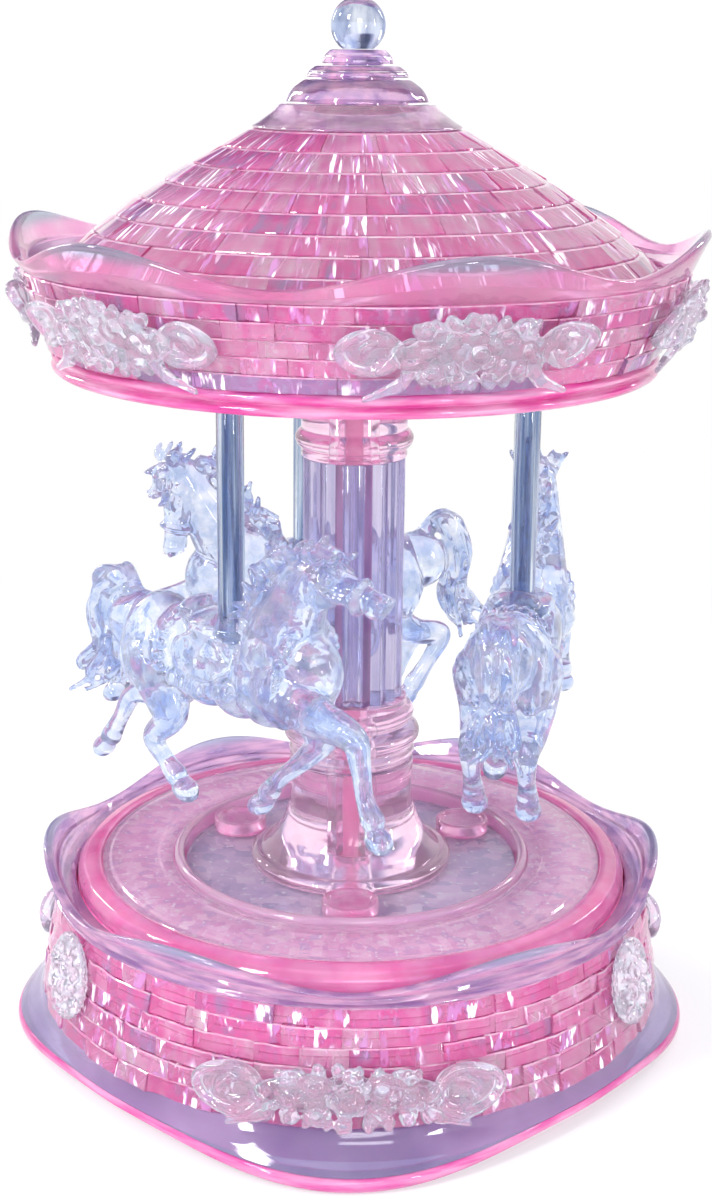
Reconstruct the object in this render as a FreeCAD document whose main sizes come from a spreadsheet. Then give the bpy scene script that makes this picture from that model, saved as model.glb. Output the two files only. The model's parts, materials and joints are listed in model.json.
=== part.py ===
"""Carousel music box: clear and pink moulded base, fluted column, turning canopy with three horses.

Millimetres, +Z up. The origin is on the turning axis, in the plane that the box stands on.
Angles round the axis are counted from the front (-Y) towards the right (+X).
"""
import FreeCAD, Part
import math
import os

import Sketcher
from FreeCAD import Placement, Rotation, Vector

doc = FreeCAD.newDocument("carousel_music_box")
sheet = doc.addObject("Spreadsheet::Sheet", "Sizes")
pieces = []
FULL_TURN = 360.0
UP = Vector(0, 0, 1)
ALONG_X = Vector(1, 0, 0)
NO_TURN = Rotation()
TIP_OVER = Rotation(Vector(0, 1, 0), 90)


class Size:
    """A length with its number and the expression that gives it from the sheet's cells."""

    def __init__(self, number, text):
        self.number = float(number)
        self.text = text

    def __float__(self):
        return self.number

    def __add__(self, other):
        return Size(self.number + float(other), f"({self.text} + {text_of(other)})")

    def __sub__(self, other):
        return Size(self.number - float(other), f"({self.text} - {text_of(other)})")

    def __mul__(self, factor):
        return Size(self.number * float(factor), f"({self.text} * {text_of(factor)})")

    def __truediv__(self, other):
        return Size(self.number / float(other), f"({self.text} / {text_of(other)})")

    def __neg__(self):
        return self * -1

    __radd__ = __add__
    __rmul__ = __mul__


def text_of(value):
    return value.text if isinstance(value, Size) else repr(float(value))


def size(alias, number):
    """A driving dimension: one named cell of the sheet."""
    row = len(sheet.getUsedCells()) // 2 + 1
    sheet.set(f"A{row}", alias)
    sheet.set(f"B{row}", str(number))
    sheet.setAlias(f"B{row}", alias)
    return Size(number, f"Sizes.{alias}")


# Clearances
seat_gap = size("seat_gap", 0.1)
running_fit = size("running_fit", 0.05)
moving_gap = size("moving_gap", 0.4)

# Base
foot_ring_r = size("foot_ring_r", 47)
foot_ring_w = size("foot_ring_w", 4)
foot_h = size("foot_h", 6.4)
plate_r = size("plate_r", 50)
plate_thick = size("plate_thick", 1.6)
skirt_lobe_r = size("skirt_lobe_r", 58)
skirt_dip_r = size("skirt_dip_r", 52.8)
skirt_lift = size("skirt_lift", 2.5)
skirt_lip = size("skirt_lip", 2.2)
base_wall_foot_r = size("base_wall_foot_r", 53)
base_wall_top_r = size("base_wall_top_r", 50)
base_wall_in_r = size("base_wall_in_r", 47)
base_course_h = size("base_course_h", 4.6)
collar_lobe_r = size("collar_lobe_r", 52.5)
collar_dip_r = size("collar_dip_r", 51)
collar_lobe_h = size("collar_lobe_h", 7)
collar_dip_h = size("collar_dip_h", 2.6)
collar_wall = size("collar_wall", 1.6)

# Deck and well
cover_wall = size("cover_wall", 1.2)
cover_h = size("cover_h", 19)
deck_thick = size("deck_thick", 3.5)
deck_ring_w = size("deck_ring_w", 4.3)
deck_ring_fall = size("deck_ring_fall", 1.6)
well_r = size("well_r", 28.4)
well_lip_w = size("well_lip_w", 1.8)
well_floor_thick = size("well_floor_thick", 1.8)
stud_r = size("stud_r", 4.6)
stud_h = size("stud_h", 2.4)
stud_circle_r = size("stud_circle_r", 22.7)

# Column
pedestal_foot_r = size("pedestal_foot_r", 17)
pedestal_lip_h = size("pedestal_lip_h", 1.6)
pedestal_neck_r = size("pedestal_neck_r", 10.4)
pedestal_bell_h = size("pedestal_bell_h", 15)
pedestal_neck_h = size("pedestal_neck_h", 2)
moulding_r = size("moulding_r", 9.6)
moulding_swell = size("moulding_swell", 1.6)
moulding_h = size("moulding_h", 11)
column_r = size("column_r", 8.4)
column_h = size("column_h", 40.65)
flute_r = size("flute_r", 1.5)
flute_depth = size("flute_depth", 0.7)
capital_r = size("capital_r", 8.6)
capital_swell = size("capital_swell", 0.8)
capital_ring_h = size("capital_ring_h", 3)
capital_h = size("capital_h", 9.5)
capital_neck_r = size("capital_neck_r", 7.4)
capital_neck_h = size("capital_neck_h", 6)
column_bore_r = size("column_bore_r", 2.6)
bush_flange_r = size("bush_flange_r", 4.5)
bush_flange_h = size("bush_flange_h", 0.8)
bush_h = size("bush_h", 5)

# Canopy and roof
shaft_r = size("shaft_r", 1.5)
hub_r = size("hub_r", 6)
hub_flange_r = size("hub_flange_r", 14)
hub_flange_h = size("hub_flange_h", 1.5)
hub_h = size("hub_h", 12)
ceiling_thick = size("ceiling_thick", 2)
rim_r = size("rim_r", 48)
rim_w = size("rim_w", 4.4)
rim_h = size("rim_h", 3.4)
canopy_foot_r = size("canopy_foot_r", 48.2)
canopy_top_r = size("canopy_top_r", 52.4)
canopy_in_r = size("canopy_in_r", 46)
canopy_top_w = size("canopy_top_w", 6.4)
canopy_course_h = size("canopy_course_h", 4.2)
crown_lobe_r = size("crown_lobe_r", 55)
crown_dip_r = size("crown_dip_r", 53.2)
crown_lobe_h = size("crown_lobe_h", 6.8)
crown_dip_h = size("crown_dip_h", 2)
crown_wall = size("crown_wall", 1.8)
crown_seat_w = size("crown_seat_w", 4.8)
eave_r = size("eave_r", 47.4)
roof_step = size("roof_step", 4.77)
roof_step_growth = size("roof_step_growth", 0.33)
roof_course_h = size("roof_course_h", 4.12)
roof_ring_w = size("roof_ring_w", 8)
neck_top_r = size("neck_top_r", 12)
neck_h = size("neck_h", 3.7)
cap_lower_r = size("cap_lower_r", 11.2)
cap_lower_top_r = size("cap_lower_top_r", 8.5)
cap_lower_h = size("cap_lower_h", 3.6)
cap_middle_r = size("cap_middle_r", 8)
cap_middle_top_r = size("cap_middle_top_r", 6.8)
cap_middle_h = size("cap_middle_h", 2)
cap_upper_r = size("cap_upper_r", 5.6)
cap_upper_top_r = size("cap_upper_top_r", 4.5)
cap_upper_h = size("cap_upper_h", 2.4)
finial_r = size("finial_r", 4.25)
finial_seat_r = size("finial_seat_r", 2.4)

# Ride
pole_r = size("pole_r", 2.1)
pole_circle_r = size("pole_circle_r", 28)
pole_socket = size("pole_socket", 4)
horse_back_h = size("horse_back_h", 46.5)
horse_len = size("horse_len", 72)

# Ornaments
garland_proud = size("garland_proud", 3.2)
canopy_garland_len = size("canopy_garland_len", 37)
base_garland_len = size("base_garland_len", 47)
medallion_w = size("medallion_w", 14)
medallion_h = size("medallion_h", 12.4)

# Movement
tooth_module = size("tooth_module", 0.5)
tooth_backlash = size("tooth_backlash", 0.14)
frame_thick = size("frame_thick", 1.2)
frame_back = size("frame_back", 16)
frame_front = size("frame_front", 36.6)
frame_comb_side = size("frame_comb_side", 20)
frame_fan_side = size("frame_fan_side", 23.4)
bearing_thick = size("bearing_thick", 1.2)
bearing_w = size("bearing_w", 4)
bearing_rise = size("bearing_rise", 2.2)
barrel_wall = size("barrel_wall", 0.6)
barrel_h = size("barrel_h", 3.8)
crown_face_w = size("crown_face_w", 1.6)
spring_thick = size("spring_thick", 0.35)
spring_band_h = size("spring_band_h", 2.2)
arbor_r = size("arbor_r", 1.4)
arbor_core_r = size("arbor_core_r", 2.4)
drum_r = size("drum_r", 4.8)
drum_len = size("drum_len", 15)
drum_arbor_r = size("drum_arbor_r", 1)
pin_r = size("pin_r", 0.22)
pin_h = size("pin_h", 0.4)
gear_face_w = size("gear_face_w", 1.4)
fly_arbor_r = size("fly_arbor_r", 0.7)
fan_r = size("fan_r", 4)
fan_len = size("fan_len", 7.5)
fan_blade_thick = size("fan_blade_thick", 0.5)
comb_thick = size("comb_thick", 0.9)
comb_tooth_len = size("comb_tooth_len", 8)
comb_root_w = size("comb_root_w", 6)
comb_slit = size("comb_slit", 0.25)
screw_r = size("screw_r", 1)
screw_head_r = size("screw_head_r", 1.7)
screw_head_h = size("screw_head_h", 1)
screw_bite = size("screw_bite", 1.1)
key_wing_len = size("key_wing_len", 19)
key_wing_thick = size("key_wing_thick", 2)
key_wing_h = size("key_wing_h", 4.4)
key_boss_r = size("key_boss_r", 3)
key_floor_gap = size("key_floor_gap", 1)

BASE_COURSES = 4
CANOPY_COURSES = 3
ROOF_COURSES = 5
FLUTES = 16
STUDS = 3
HORSES = 3
SKIRT_LOBES = 4
CROWN_LOBES = 6
CROWN_TEETH = 48
PINION_TEETH = 12
WHEEL_TEETH = 30
FLY_PINION_TEETH = 10
COMB_TEETH = 14
PIN_ROWS = 9
LOBE_STATIONS = 96
COLLAR_PHASE = 30.0
CANOPY_PHASE = 18.0
FRONT_POLE_ANGLE = -42.0
BASE_GARLAND_ANGLES = (0.0, 120.0, 240.0)
MEDALLION_ANGLES = (60.0, 180.0, 300.0)

# Heights that follow from the sizes above
plate_top = foot_h + plate_thick
collar_foot = plate_top + base_course_h * BASE_COURSES
cover_top = plate_top + cover_h
deck_top = cover_top + deck_thick
well_floor_top = cover_top + well_floor_thick
pedestal_top = well_floor_top + pedestal_bell_h + pedestal_lip_h + pedestal_neck_h
column_foot = pedestal_top + moulding_h
column_top = column_foot + column_h
capital_top = column_top + capital_h
bush_seat = capital_top + capital_neck_h
hub_foot = bush_seat + bush_flange_h + moving_gap
ceiling_foot = hub_foot + hub_flange_h
rim_foot = ceiling_foot - rim_h
crown_foot = ceiling_foot + canopy_course_h * CANOPY_COURSES
roof_top = crown_foot + roof_course_h * ROOF_COURSES
neck_top = roof_top + neck_h
cap_lower_top = neck_top + cap_lower_h
cap_middle_top = cap_lower_top + cap_middle_h
cap_upper_top = cap_middle_top + cap_upper_h
horse_back = deck_top + horse_back_h


def around(radius, angle_deg, height=0.0):
    """A point at an angle from the front, counted towards the right."""
    angle = math.radians(angle_deg)
    return Vector(float(radius) * math.sin(angle), -float(radius) * math.cos(angle), float(height))


def keep(thing, label):
    """Hand in a document object as a sub-part under its own name."""
    thing.Label = label
    pieces.append(thing)
    return thing


def bind(thing, **lengths):
    for name, length in lengths.items():
        setattr(thing, name, float(length))
        thing.setExpression(name, text_of(length))


def place(thing, x, y, z, turn=NO_TURN):
    thing.Placement = Placement(Vector(float(x), float(y), float(z)), turn)
    for axis, value in (("x", x), ("y", y), ("z", z)):
        if isinstance(value, Size):
            thing.setExpression(f"Placement.Base.{axis}", value.text)


def cylinder(name, radius, height, x=0, y=0, z=0, turn=NO_TURN):
    thing = doc.addObject("Part::Cylinder", name)
    bind(thing, Radius=radius, Height=height)
    place(thing, x, y, z, turn)
    return thing


def block(name, length, width, height, x, y, z):
    """A box whose lowest corner is at x, y, z."""
    thing = doc.addObject("Part::Box", name)
    bind(thing, Length=length, Width=width, Height=height)
    place(thing, x, y, z)
    return thing


def joined(name, things):
    fused = doc.addObject("Part::MultiFuse", name)
    fused.Shapes = things
    return fused


def group(name, things):
    bundle = doc.addObject("Part::Compound", name)
    bundle.Links = things
    return bundle


def cut(name, base, tool):
    result = doc.addObject("Part::Cut", name)
    result.Base = base
    result.Tool = tool
    return result


def shaped(label, shape, spot=Placement()):
    """A sub-part whose free form is worked out here from the sheet's sizes."""
    thing = doc.addObject("Part::Feature", label)
    thing.Shape = shape
    thing.Placement = spot
    return keep(thing, label)


def origin_plane(body, role):
    return next(plane for plane in body.Origin.OriginFeatures if plane.Role == role)


def add_edge(sketch, start, end, bow):
    """One side of an outline, straight or an arc, and which of its ends comes first."""
    if bow is None:
        sketch.addGeometry(Part.LineSegment(start, end), False)
        return 1, 2
    radius = abs(float(bow))
    half = (end - start) * 0.5
    inward = Vector(-half.y, half.x, 0).normalize() * math.copysign(1.0, float(bow))
    centre = start + half + inward * math.sqrt(max(radius ** 2 - half.Length ** 2, 0.0))
    first, last = (start, end) if float(bow) > 0 else (end, start)
    angles = [math.atan2(point.y - centre.y, point.x - centre.x) for point in (first, last)]
    sketch.addGeometry(Part.ArcOfCircle(Part.Circle(centre, UP, radius), *angles), False)
    return (1, 2) if float(bow) > 0 else (2, 1)


def turned_body(label, outline):
    """A body turned round the axis. Each corner is (radius, height) or (radius, height, bow):
    a bow is the radius of the arc to the next corner, negative where it is hollow."""
    body = doc.addObject("PartDesign::Body", label)
    sketch = body.newObject("Sketcher::SketchObject", label + "_outline")
    sketch.AttachmentSupport = (origin_plane(body, "XZ_Plane"), [""])
    sketch.MapMode = "FlatFace"
    corners = [Vector(float(corner[0]), float(corner[1]), 0) for corner in outline]
    bows = [corner[2] if len(corner) > 2 else None for corner in outline]
    count = len(outline)
    ends = [add_edge(sketch, corners[i], corners[(i + 1) % count], bows[i]) for i in range(count)]
    for i in range(count):
        following = (i + 1) % count
        sketch.addConstraint(Sketcher.Constraint("Coincident", i, ends[i][1], following, ends[following][0]))
    for i, corner in enumerate(outline):
        for kind, value in (("DistanceX", corner[0]), ("DistanceY", corner[1])):
            if float(value) == 0:
                axis = -2 if kind == "DistanceX" else -1
                sketch.addConstraint(Sketcher.Constraint("PointOnObject", i, ends[i][0], axis))
                continue
            spot = Sketcher.Constraint(kind, -1, 1, i, ends[i][0], float(value))
            sketch.setExpression(f"Constraints[{sketch.addConstraint(spot)}]", text_of(value))
        if bows[i] is not None:
            radius = bows[i] if float(bows[i]) > 0 else -bows[i]
            index = sketch.addConstraint(Sketcher.Constraint("Radius", i, float(radius)))
            sketch.setExpression(f"Constraints[{index}]", radius.text)
    turning = body.newObject("PartDesign::Revolution", label + "_turning")
    turning.Profile = sketch
    turning.ReferenceAxis = (sketch, ["V_Axis"])
    turning.Angle = FULL_TURN
    body.Tip = turning
    return body


def turned(label, outline):
    return keep(turned_body(label, outline), label)


def ring_course(label, foot_in, top_in, foot_r, top_r, foot_z, top_z):
    return turned(label, [(foot_in, foot_z), (foot_r, foot_z), (top_r, top_z), (top_in, top_z)])


def lobed_ring(label, corners):
    """A ring whose section changes with the angle: each corner is a function that gives
    its radius and height, and straight strips join one corner's closed curve to the next."""
    loops = []
    for corner in corners:
        points = []
        for k in range(LOBE_STATIONS):
            angle = FULL_TURN * k / LOBE_STATIONS
            radius, height = corner(angle)
            points.append(around(radius, angle, height))
        curve = Part.BSplineCurve()
        curve.interpolate(Points=points, PeriodicFlag=True)
        loops.append(curve.toShape())
    strips = [Part.makeRuledSurface(a, b) for a, b in zip(loops, loops[1:] + loops[:1])]
    shell = Part.Shell([face for strip in strips for face in strip.Faces])
    shell.sewShape()
    solid = Part.Solid(shell)
    if solid.Volume < 0:
        solid.reverse()
    return shaped(label, solid)


def wave(lobes, phase_deg, angle_deg):
    """1 at the middle of a lobe and 0 in the dip between two lobes."""
    return 0.5 + 0.5 * math.cos(math.radians(lobes * (angle_deg - phase_deg)))


def between(low, high, share):
    return float(low) + (float(high) - float(low)) * share


# Bottom plate with the foot ring that the box stands on
base_plate_blank = turned_body("base_plate_blank", [
    (arbor_r + running_fit, foot_h), (foot_ring_r - foot_ring_w, foot_h), (foot_ring_r - foot_ring_w, 0),
    (foot_ring_r, 0), (foot_ring_r, foot_h), (plate_r, foot_h), (plate_r, plate_top),
    (arbor_r + running_fit, plate_top)])


# Scalloped skirt: its lip runs out and down at the lobes and lifts between them.
# It fits round the bottom plate as far down as the seat's share of its height.
SKIRT_SEAT = 0.3
LOBE_SHARPNESS = 1.3


def skirt_lip_spot(angle):
    reach = wave(SKIRT_LOBES, 0, angle) ** LOBE_SHARPNESS
    return between(skirt_dip_r, skirt_lobe_r, reach), between(skirt_lift, 0, reach)


def skirt_corner(along, drop):
    """A point a share of the way from the wall to the lip, lowered by a share of the skirt's height."""
    def spot(angle):
        lip_r, lip_z = skirt_lip_spot(angle)
        top = float(plate_top)
        return between(base_wall_foot_r, lip_r, along), top - (top - lip_z) * drop
    return spot


def skirt_inner(drop):
    def spot(angle):
        lip_r, lip_z = skirt_lip_spot(angle)
        seat = float(plate_r + seat_gap)
        share = max(drop - SKIRT_SEAT, 0) / (1 - SKIRT_SEAT)
        top = float(plate_top)
        return between(seat, max(lip_r - float(skirt_lip), seat), share), top - (top - lip_z) * drop
    return spot


lobed_ring("base_skirt", [
    skirt_inner(0), skirt_inner(SKIRT_SEAT), skirt_inner(1), skirt_corner(0.9, 1), skirt_corner(1, 0.9),
    skirt_corner(0.52, 0.62), skirt_corner(0.16, 0.3), skirt_corner(0, 0)])

# Brick courses of the base wall
for k in range(BASE_COURSES):
    taper = (base_wall_top_r - base_wall_foot_r) / BASE_COURSES
    ring_course(f"base_course_{k + 1}", base_wall_in_r, base_wall_in_r, base_wall_foot_r + taper * k,
                base_wall_foot_r + taper * (k + 1), plate_top + base_course_h * k,
                plate_top + base_course_h * (k + 1))


# Lobed collar round the deck: its lobes stand between the ornaments below
def collar_edge(inset, drop):
    def spot(angle):
        reach = wave(CROWN_LOBES, COLLAR_PHASE, angle)
        height = between(collar_foot + collar_dip_h, collar_foot + collar_lobe_h, reach)
        return between(collar_dip_r, collar_lobe_r, reach) - float(inset), height - float(drop)
    return spot


def fixed(radius, height):
    return lambda angle: (float(radius), float(height))


collar_in_r = base_wall_in_r - seat_gap * 2
collar_shoulder = collar_foot + collar_dip_h * 0.7
lobed_ring("base_collar", [
    fixed(collar_in_r, collar_foot), fixed(base_wall_top_r, collar_foot),
    collar_edge(0, collar_wall * 0.4), collar_edge(collar_wall * 0.4, 0),
    collar_edge(collar_wall, collar_wall * 0.3), fixed(collar_in_r, collar_shoulder)])

# Cover drum over the movement, which carries the deck
cover_r = collar_in_r - seat_gap * 2
shaft_hole = shaft_r + moving_gap
turned("movement_cover", [
    (cover_r - cover_wall, plate_top), (cover_r, plate_top), (cover_r, cover_top), (shaft_hole, cover_top),
    (shaft_hole, cover_top - cover_wall), (cover_r - cover_wall, cover_top - cover_wall)])

# Deck: rounded outer ring, flat plate, rounded well lip, well floor and its studs
deck_r = cover_r - deck_ring_w
turned("deck_ring", [
    (deck_r + seat_gap, cover_top), (cover_r, cover_top),
    (cover_r, deck_top - deck_ring_fall, deck_ring_w * 1.2), (deck_r + seat_gap, deck_top)])
turned("deck_plate", [
    (well_r + well_lip_w + seat_gap, cover_top), (deck_r, cover_top), (deck_r, deck_top),
    (well_r + well_lip_w + seat_gap, deck_top)])
turned("well_lip", [
    (well_r, cover_top), (well_r + well_lip_w, cover_top), (well_r + well_lip_w, deck_top, well_lip_w * 0.52),
    (well_r, deck_top)])
turned("well_floor", [
    (column_bore_r, cover_top), (well_r - seat_gap, cover_top), (well_r - seat_gap, well_floor_top),
    (column_bore_r, well_floor_top)])
studs = []
for k in range(STUDS):
    spot = around(1, FULL_TURN * k / STUDS)
    studs.append(cylinder(f"stud_{k + 1}", stud_r, stud_h, stud_circle_r * spot.x, stud_circle_r * spot.y,
                          well_floor_top))
keep(group("well_stud_group", studs), "well_studs")

# Pedestal: a lip, a hollow bell and a neck, then turned mouldings
bell_foot = well_floor_top + pedestal_lip_h
turned("pedestal_foot", [
    (column_bore_r, well_floor_top), (pedestal_foot_r, well_floor_top), (pedestal_foot_r, bell_foot),
    (pedestal_foot_r - pedestal_lip_h, bell_foot, -(pedestal_bell_h * 1.3)),
    (pedestal_neck_r, bell_foot + pedestal_bell_h), (pedestal_neck_r, pedestal_top),
    (column_bore_r, pedestal_top)])
ridge = moulding_h / 4
turned("pedestal_mouldings", [
    (column_bore_r, pedestal_top), (moulding_r, pedestal_top, ridge * 0.55),
    (moulding_r, pedestal_top + ridge),
    (moulding_r + moulding_swell * 0.3, pedestal_top + ridge, ridge * 0.8),
    (moulding_r + moulding_swell * 0.3, pedestal_top + ridge * 2.4),
    (moulding_r, pedestal_top + ridge * 2.4, ridge * 0.6), (moulding_r, column_foot - ridge * 0.5),
    (column_r + flute_depth, column_foot - ridge * 0.5), (column_r + flute_depth, column_foot),
    (column_bore_r, column_foot)])

# Column shaft with its flutes
shaft_blank = cylinder("column_blank", column_r, column_h, 0, 0, column_foot)
flutes = []
for k in range(FLUTES):
    spot = around(1, FULL_TURN * (k + 0.5) / FLUTES)
    reach = column_r + flute_r - flute_depth
    flutes.append(cylinder(f"flute_{k + 1}", flute_r, column_h, reach * spot.x, reach * spot.y, column_foot))
flutes.append(cylinder("column_bore", column_bore_r, column_h, 0, 0, column_foot))
keep(cut("column_fluting", shaft_blank, joined("column_cutters", flutes)), "column_shaft")

# Capital: a swelled ring, a drum and the plain neck that goes up inside the canopy
ring_foot = column_top + capital_ring_h / 2
turned("column_capital", [
    (column_bore_r, column_top), (capital_r, column_top), (capital_r, ring_foot),
    (capital_r + capital_swell * 0.25, ring_foot, capital_ring_h * 0.6),
    (capital_r + capital_swell * 0.25, ring_foot + capital_ring_h), (capital_r, ring_foot + capital_ring_h),
    (capital_r, capital_top), (capital_neck_r, capital_top), (capital_neck_r, bush_seat),
    (column_bore_r, bush_seat)])

# Flanged bush in the top of the column, where the drive shaft turns
bush_out_r = column_bore_r - seat_gap * 0.2
turned("top_bush", [
    (shaft_r + running_fit, bush_seat - bush_h), (bush_out_r, bush_seat - bush_h), (bush_out_r, bush_seat),
    (bush_flange_r, bush_seat), (bush_flange_r, bush_seat + bush_flange_h),
    (shaft_r + running_fit, bush_seat + bush_flange_h)])

# Canopy: hub on the shaft, ceiling plate on the hub's flange, double ridged rim, brick courses
press_r = shaft_r + seat_gap * 0.2
flare = (canopy_top_r - canopy_foot_r) / CANOPY_COURSES
lean = (canopy_top_r - canopy_top_w - canopy_in_r) / CANOPY_COURSES
ceiling_top_r = canopy_in_r + lean * (ceiling_thick / canopy_course_h) - seat_gap
turned("canopy_hub", [
    (press_r, hub_foot), (hub_flange_r, hub_foot), (hub_flange_r, ceiling_foot), (hub_r, ceiling_foot),
    (hub_r, hub_foot + hub_h), (press_r, hub_foot + hub_h)])
turned("canopy_ceiling", [
    (hub_r + seat_gap, ceiling_foot), (canopy_in_r - seat_gap, ceiling_foot),
    (ceiling_top_r, ceiling_foot + ceiling_thick), (hub_r + seat_gap, ceiling_foot + ceiling_thick)])
turned("canopy_rim", [
    (rim_r - rim_w, rim_foot), (rim_r - rim_h * 0.2, rim_foot, rim_h * 0.3),
    (rim_r - rim_h * 0.2, rim_foot + rim_h * 0.5, rim_h * 0.3), (rim_r - rim_h * 0.2, ceiling_foot),
    (rim_r - rim_w, ceiling_foot)])
for k in range(CANOPY_COURSES):
    ring_course(f"canopy_course_{k + 1}", canopy_in_r + lean * k, canopy_in_r + lean * (k + 1),
                canopy_foot_r + flare * k, canopy_foot_r + flare * (k + 1),
                ceiling_foot + canopy_course_h * k, ceiling_foot + canopy_course_h * (k + 1))


# Lobed crown ring that stands round the eaves
def crown_edge(inset, drop):
    def spot(angle):
        reach = wave(CROWN_LOBES, CANOPY_PHASE, angle)
        height = between(crown_foot + crown_dip_h, crown_foot + crown_lobe_h, reach)
        return between(crown_dip_r, crown_lobe_r, reach) - float(inset), height - float(drop)
    return spot


crown_in_r = eave_r + seat_gap * 2
lobed_ring("canopy_crown", [
    fixed(crown_in_r, crown_foot), fixed(crown_in_r + crown_seat_w, crown_foot),
    crown_edge(0, crown_wall * 0.45), crown_edge(crown_wall * 0.45, 0),
    crown_edge(crown_wall, crown_wall * 0.45), fixed(crown_in_r, crown_foot + crown_dip_h * 0.4)])


# Roof courses step in faster towards the top
def roof_r(k):
    return eave_r - roof_step * k - roof_step_growth * k * k


for k in range(ROOF_COURSES):
    roof_in_r = roof_r(k + 1) - roof_ring_w
    ring_course(f"roof_course_{k + 1}", roof_in_r, roof_in_r, roof_r(k), roof_r(k + 1),
                crown_foot + roof_course_h * k, crown_foot + roof_course_h * (k + 1))
neck_in_r = roof_r(ROOF_COURSES) - roof_ring_w
turned("roof_neck", [
    (neck_in_r, roof_top), (roof_r(ROOF_COURSES), roof_top, -(neck_h * 3)), (neck_top_r, neck_top),
    (neck_in_r, neck_top)])


def cap_tier(label, foot_r, top_r, foot_z, top_z, bow):
    return turned(label, [(0, foot_z), (foot_r, foot_z, bow), (top_r, top_z), (0, top_z)])


cap_tier("cap_lower", cap_lower_r, cap_lower_top_r, neck_top, cap_lower_top, cap_lower_h * 1.2)
cap_tier("cap_middle", cap_middle_r, cap_middle_top_r, cap_lower_top, cap_middle_top, cap_middle_h * 1.3)
cap_tier("cap_upper", cap_upper_r, cap_upper_top_r, cap_middle_top, cap_upper_top, cap_upper_h * 1.3)

# Ball finial with a flat seat on the cap
finial = doc.addObject("Part::Sphere", "finial_ball")
bind(finial, Radius=finial_r)
finial.setExpression("Angle1", f"-acos({(finial_seat_r / finial_r).text})")
finial_rise = Size(math.sqrt(float(finial_r) ** 2 - float(finial_seat_r) ** 2),
                   f"sqrt({finial_r.text}^2 - {finial_seat_r.text}^2)")
place(finial, 0, 0, cap_upper_top + finial_rise)
keep(finial, "finial")

# Poles, from the sockets in the horses' backs to the ceiling plate
pole_foot = horse_back - pole_socket
pole_angles = [FRONT_POLE_ANGLE + FULL_TURN * k / HORSES for k in range(HORSES)]
for k, angle in enumerate(pole_angles):
    spot = around(1, angle)
    pole = cylinder(f"pole_rod_{k + 1}", pole_r, ceiling_foot - pole_foot, pole_circle_r * spot.x,
                    pole_circle_r * spot.y, pole_foot)
    keep(pole, f"pole_{k + 1}")

# Leaping horse. Its own frame has the pole on Z, the back at zero, the nose towards +X and the
# outer side towards -Y. The figures are for a horse 72 long, from the hind hoof to the fore hoof.
HORSE_DRAWN_LEN = 72.0
TRUNK = [(-24, -4, 2.4, 2.2), (-21, -4.2, 6, 5.2), (-15, -6, 8, 6.8), (-6, -7.3, 7.4, 6.4),
         (4, -7.7, 7.6, 6.4), (12, -6.5, 8.4, 6.4), (18, -4.5, 6.8, 5), (21, -3.5, 2.8, 2.4)]
NECK = [(12, -3, 0, 6.8), (15.5, 4, 0, 5.2), (18.6, 10, 0.6, 4.1), (20.6, 14.6, 1, 3.4)]
HEAD = [(20.6, 14.6, 1, 3.4), (24, 12.4, 1.8, 3.2), (27, 9, 2.4, 2.4), (29.4, 6, 2.8, 2)]
CREST = [(22, 17.6, 1, 1.2), (17.6, 16.4, 0.6, 1.8), (13, 11, 0, 2.2), (8.6, 4, 0, 2.2), (6, 0.2, 0, 1.4)]
TAIL = [(-22, -1.5, 0, 2.2), (-26.5, 3, 0, 2.4), (-31, -2, 0, 3), (-32, -9, 0, 2.6), (-29, -17, 0, 1.2)]
LEGS = [
    [(14, -8, -3.4, 5), (29, -10.6, -3.8, 2.6), (31.4, -20, -3.8, 1.7), (34, -25.4, -3.8, 2.3)],
    [(12, -10, 3.4, 5), (15.4, -17, 3.8, 2.7), (6, -26.4, 3.8, 1.7), (2.6, -31, 3.8, 2.3)],
    [(-14, -9, -3.8, 5.6), (-9.4, -16.4, -4.2, 3.4), (-14, -22, -4.2, 2), (-7.4, -28, -4.2, 2.3)],
    [(-16, -9, 3.8, 5.6), (-15, -16, 4.2, 3.4), (-28, -19.4, 4.2, 2), (-36, -31, 4.2, 2.3)],
]
EARS = [[(21, 17, -0.4, 1.1), (20.6, 20, -0.8, 0.4)], [(21, 17, 2.4, 1.1), (20.6, 20, 2.8, 0.4)]]


def limb(joints, scale):
    """Rounded tapering tube through joints given as (along, up, across, radius)."""
    spots = [(Vector(u, v, w) * scale, r * scale) for u, w, v, r in joints]
    solids = []
    for (start, start_r), (end, end_r) in zip(spots, spots[1:]):
        run = end - start
        if abs(start_r - end_r) < 1e-6:
            solids.append(Part.makeCylinder(start_r, run.Length, start, run))
        else:
            solids.append(Part.makeCone(start_r, end_r, run.Length, start, run))
    return solids + [Part.makeSphere(r, spot) for spot, r in spots]


def trunk_shape(scale):
    """Loft through upright ellipses, each given as (along, middle height, half height, half width)."""
    hoops = []
    upright = Rotation(UP, Vector(0, 1, 0), ALONG_X, "ZXY")
    for u, middle, tall, wide in TRUNK:
        hoop = Part.Ellipse(Vector(), max(tall, wide) * scale, min(tall, wide) * scale).toShape()
        hoop.Placement = Placement(Vector(u, 0, middle) * scale, upright)
        hoops.append(Part.Wire(hoop))
    return Part.makeLoft(hoops, True)


def horse_shape():
    scale = float(horse_len) / HORSE_DRAWN_LEN
    solids = []
    for run in [NECK, HEAD, CREST, TAIL] + LEGS + EARS:
        solids += limb(run, scale)
    body = trunk_shape(scale).multiFuse(solids)
    socket_foot = Vector(0, 0, -float(pole_socket))
    return body.cut(Part.makeCylinder(float(pole_r + running_fit), float(horse_back_h), socket_foot))


horse = horse_shape()
for k, angle in enumerate(pole_angles):
    spot = Placement(around(pole_circle_r, angle, horse_back), Rotation(UP, angle))
    shaped(f"horse_{k + 1}", horse, spot)


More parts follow.
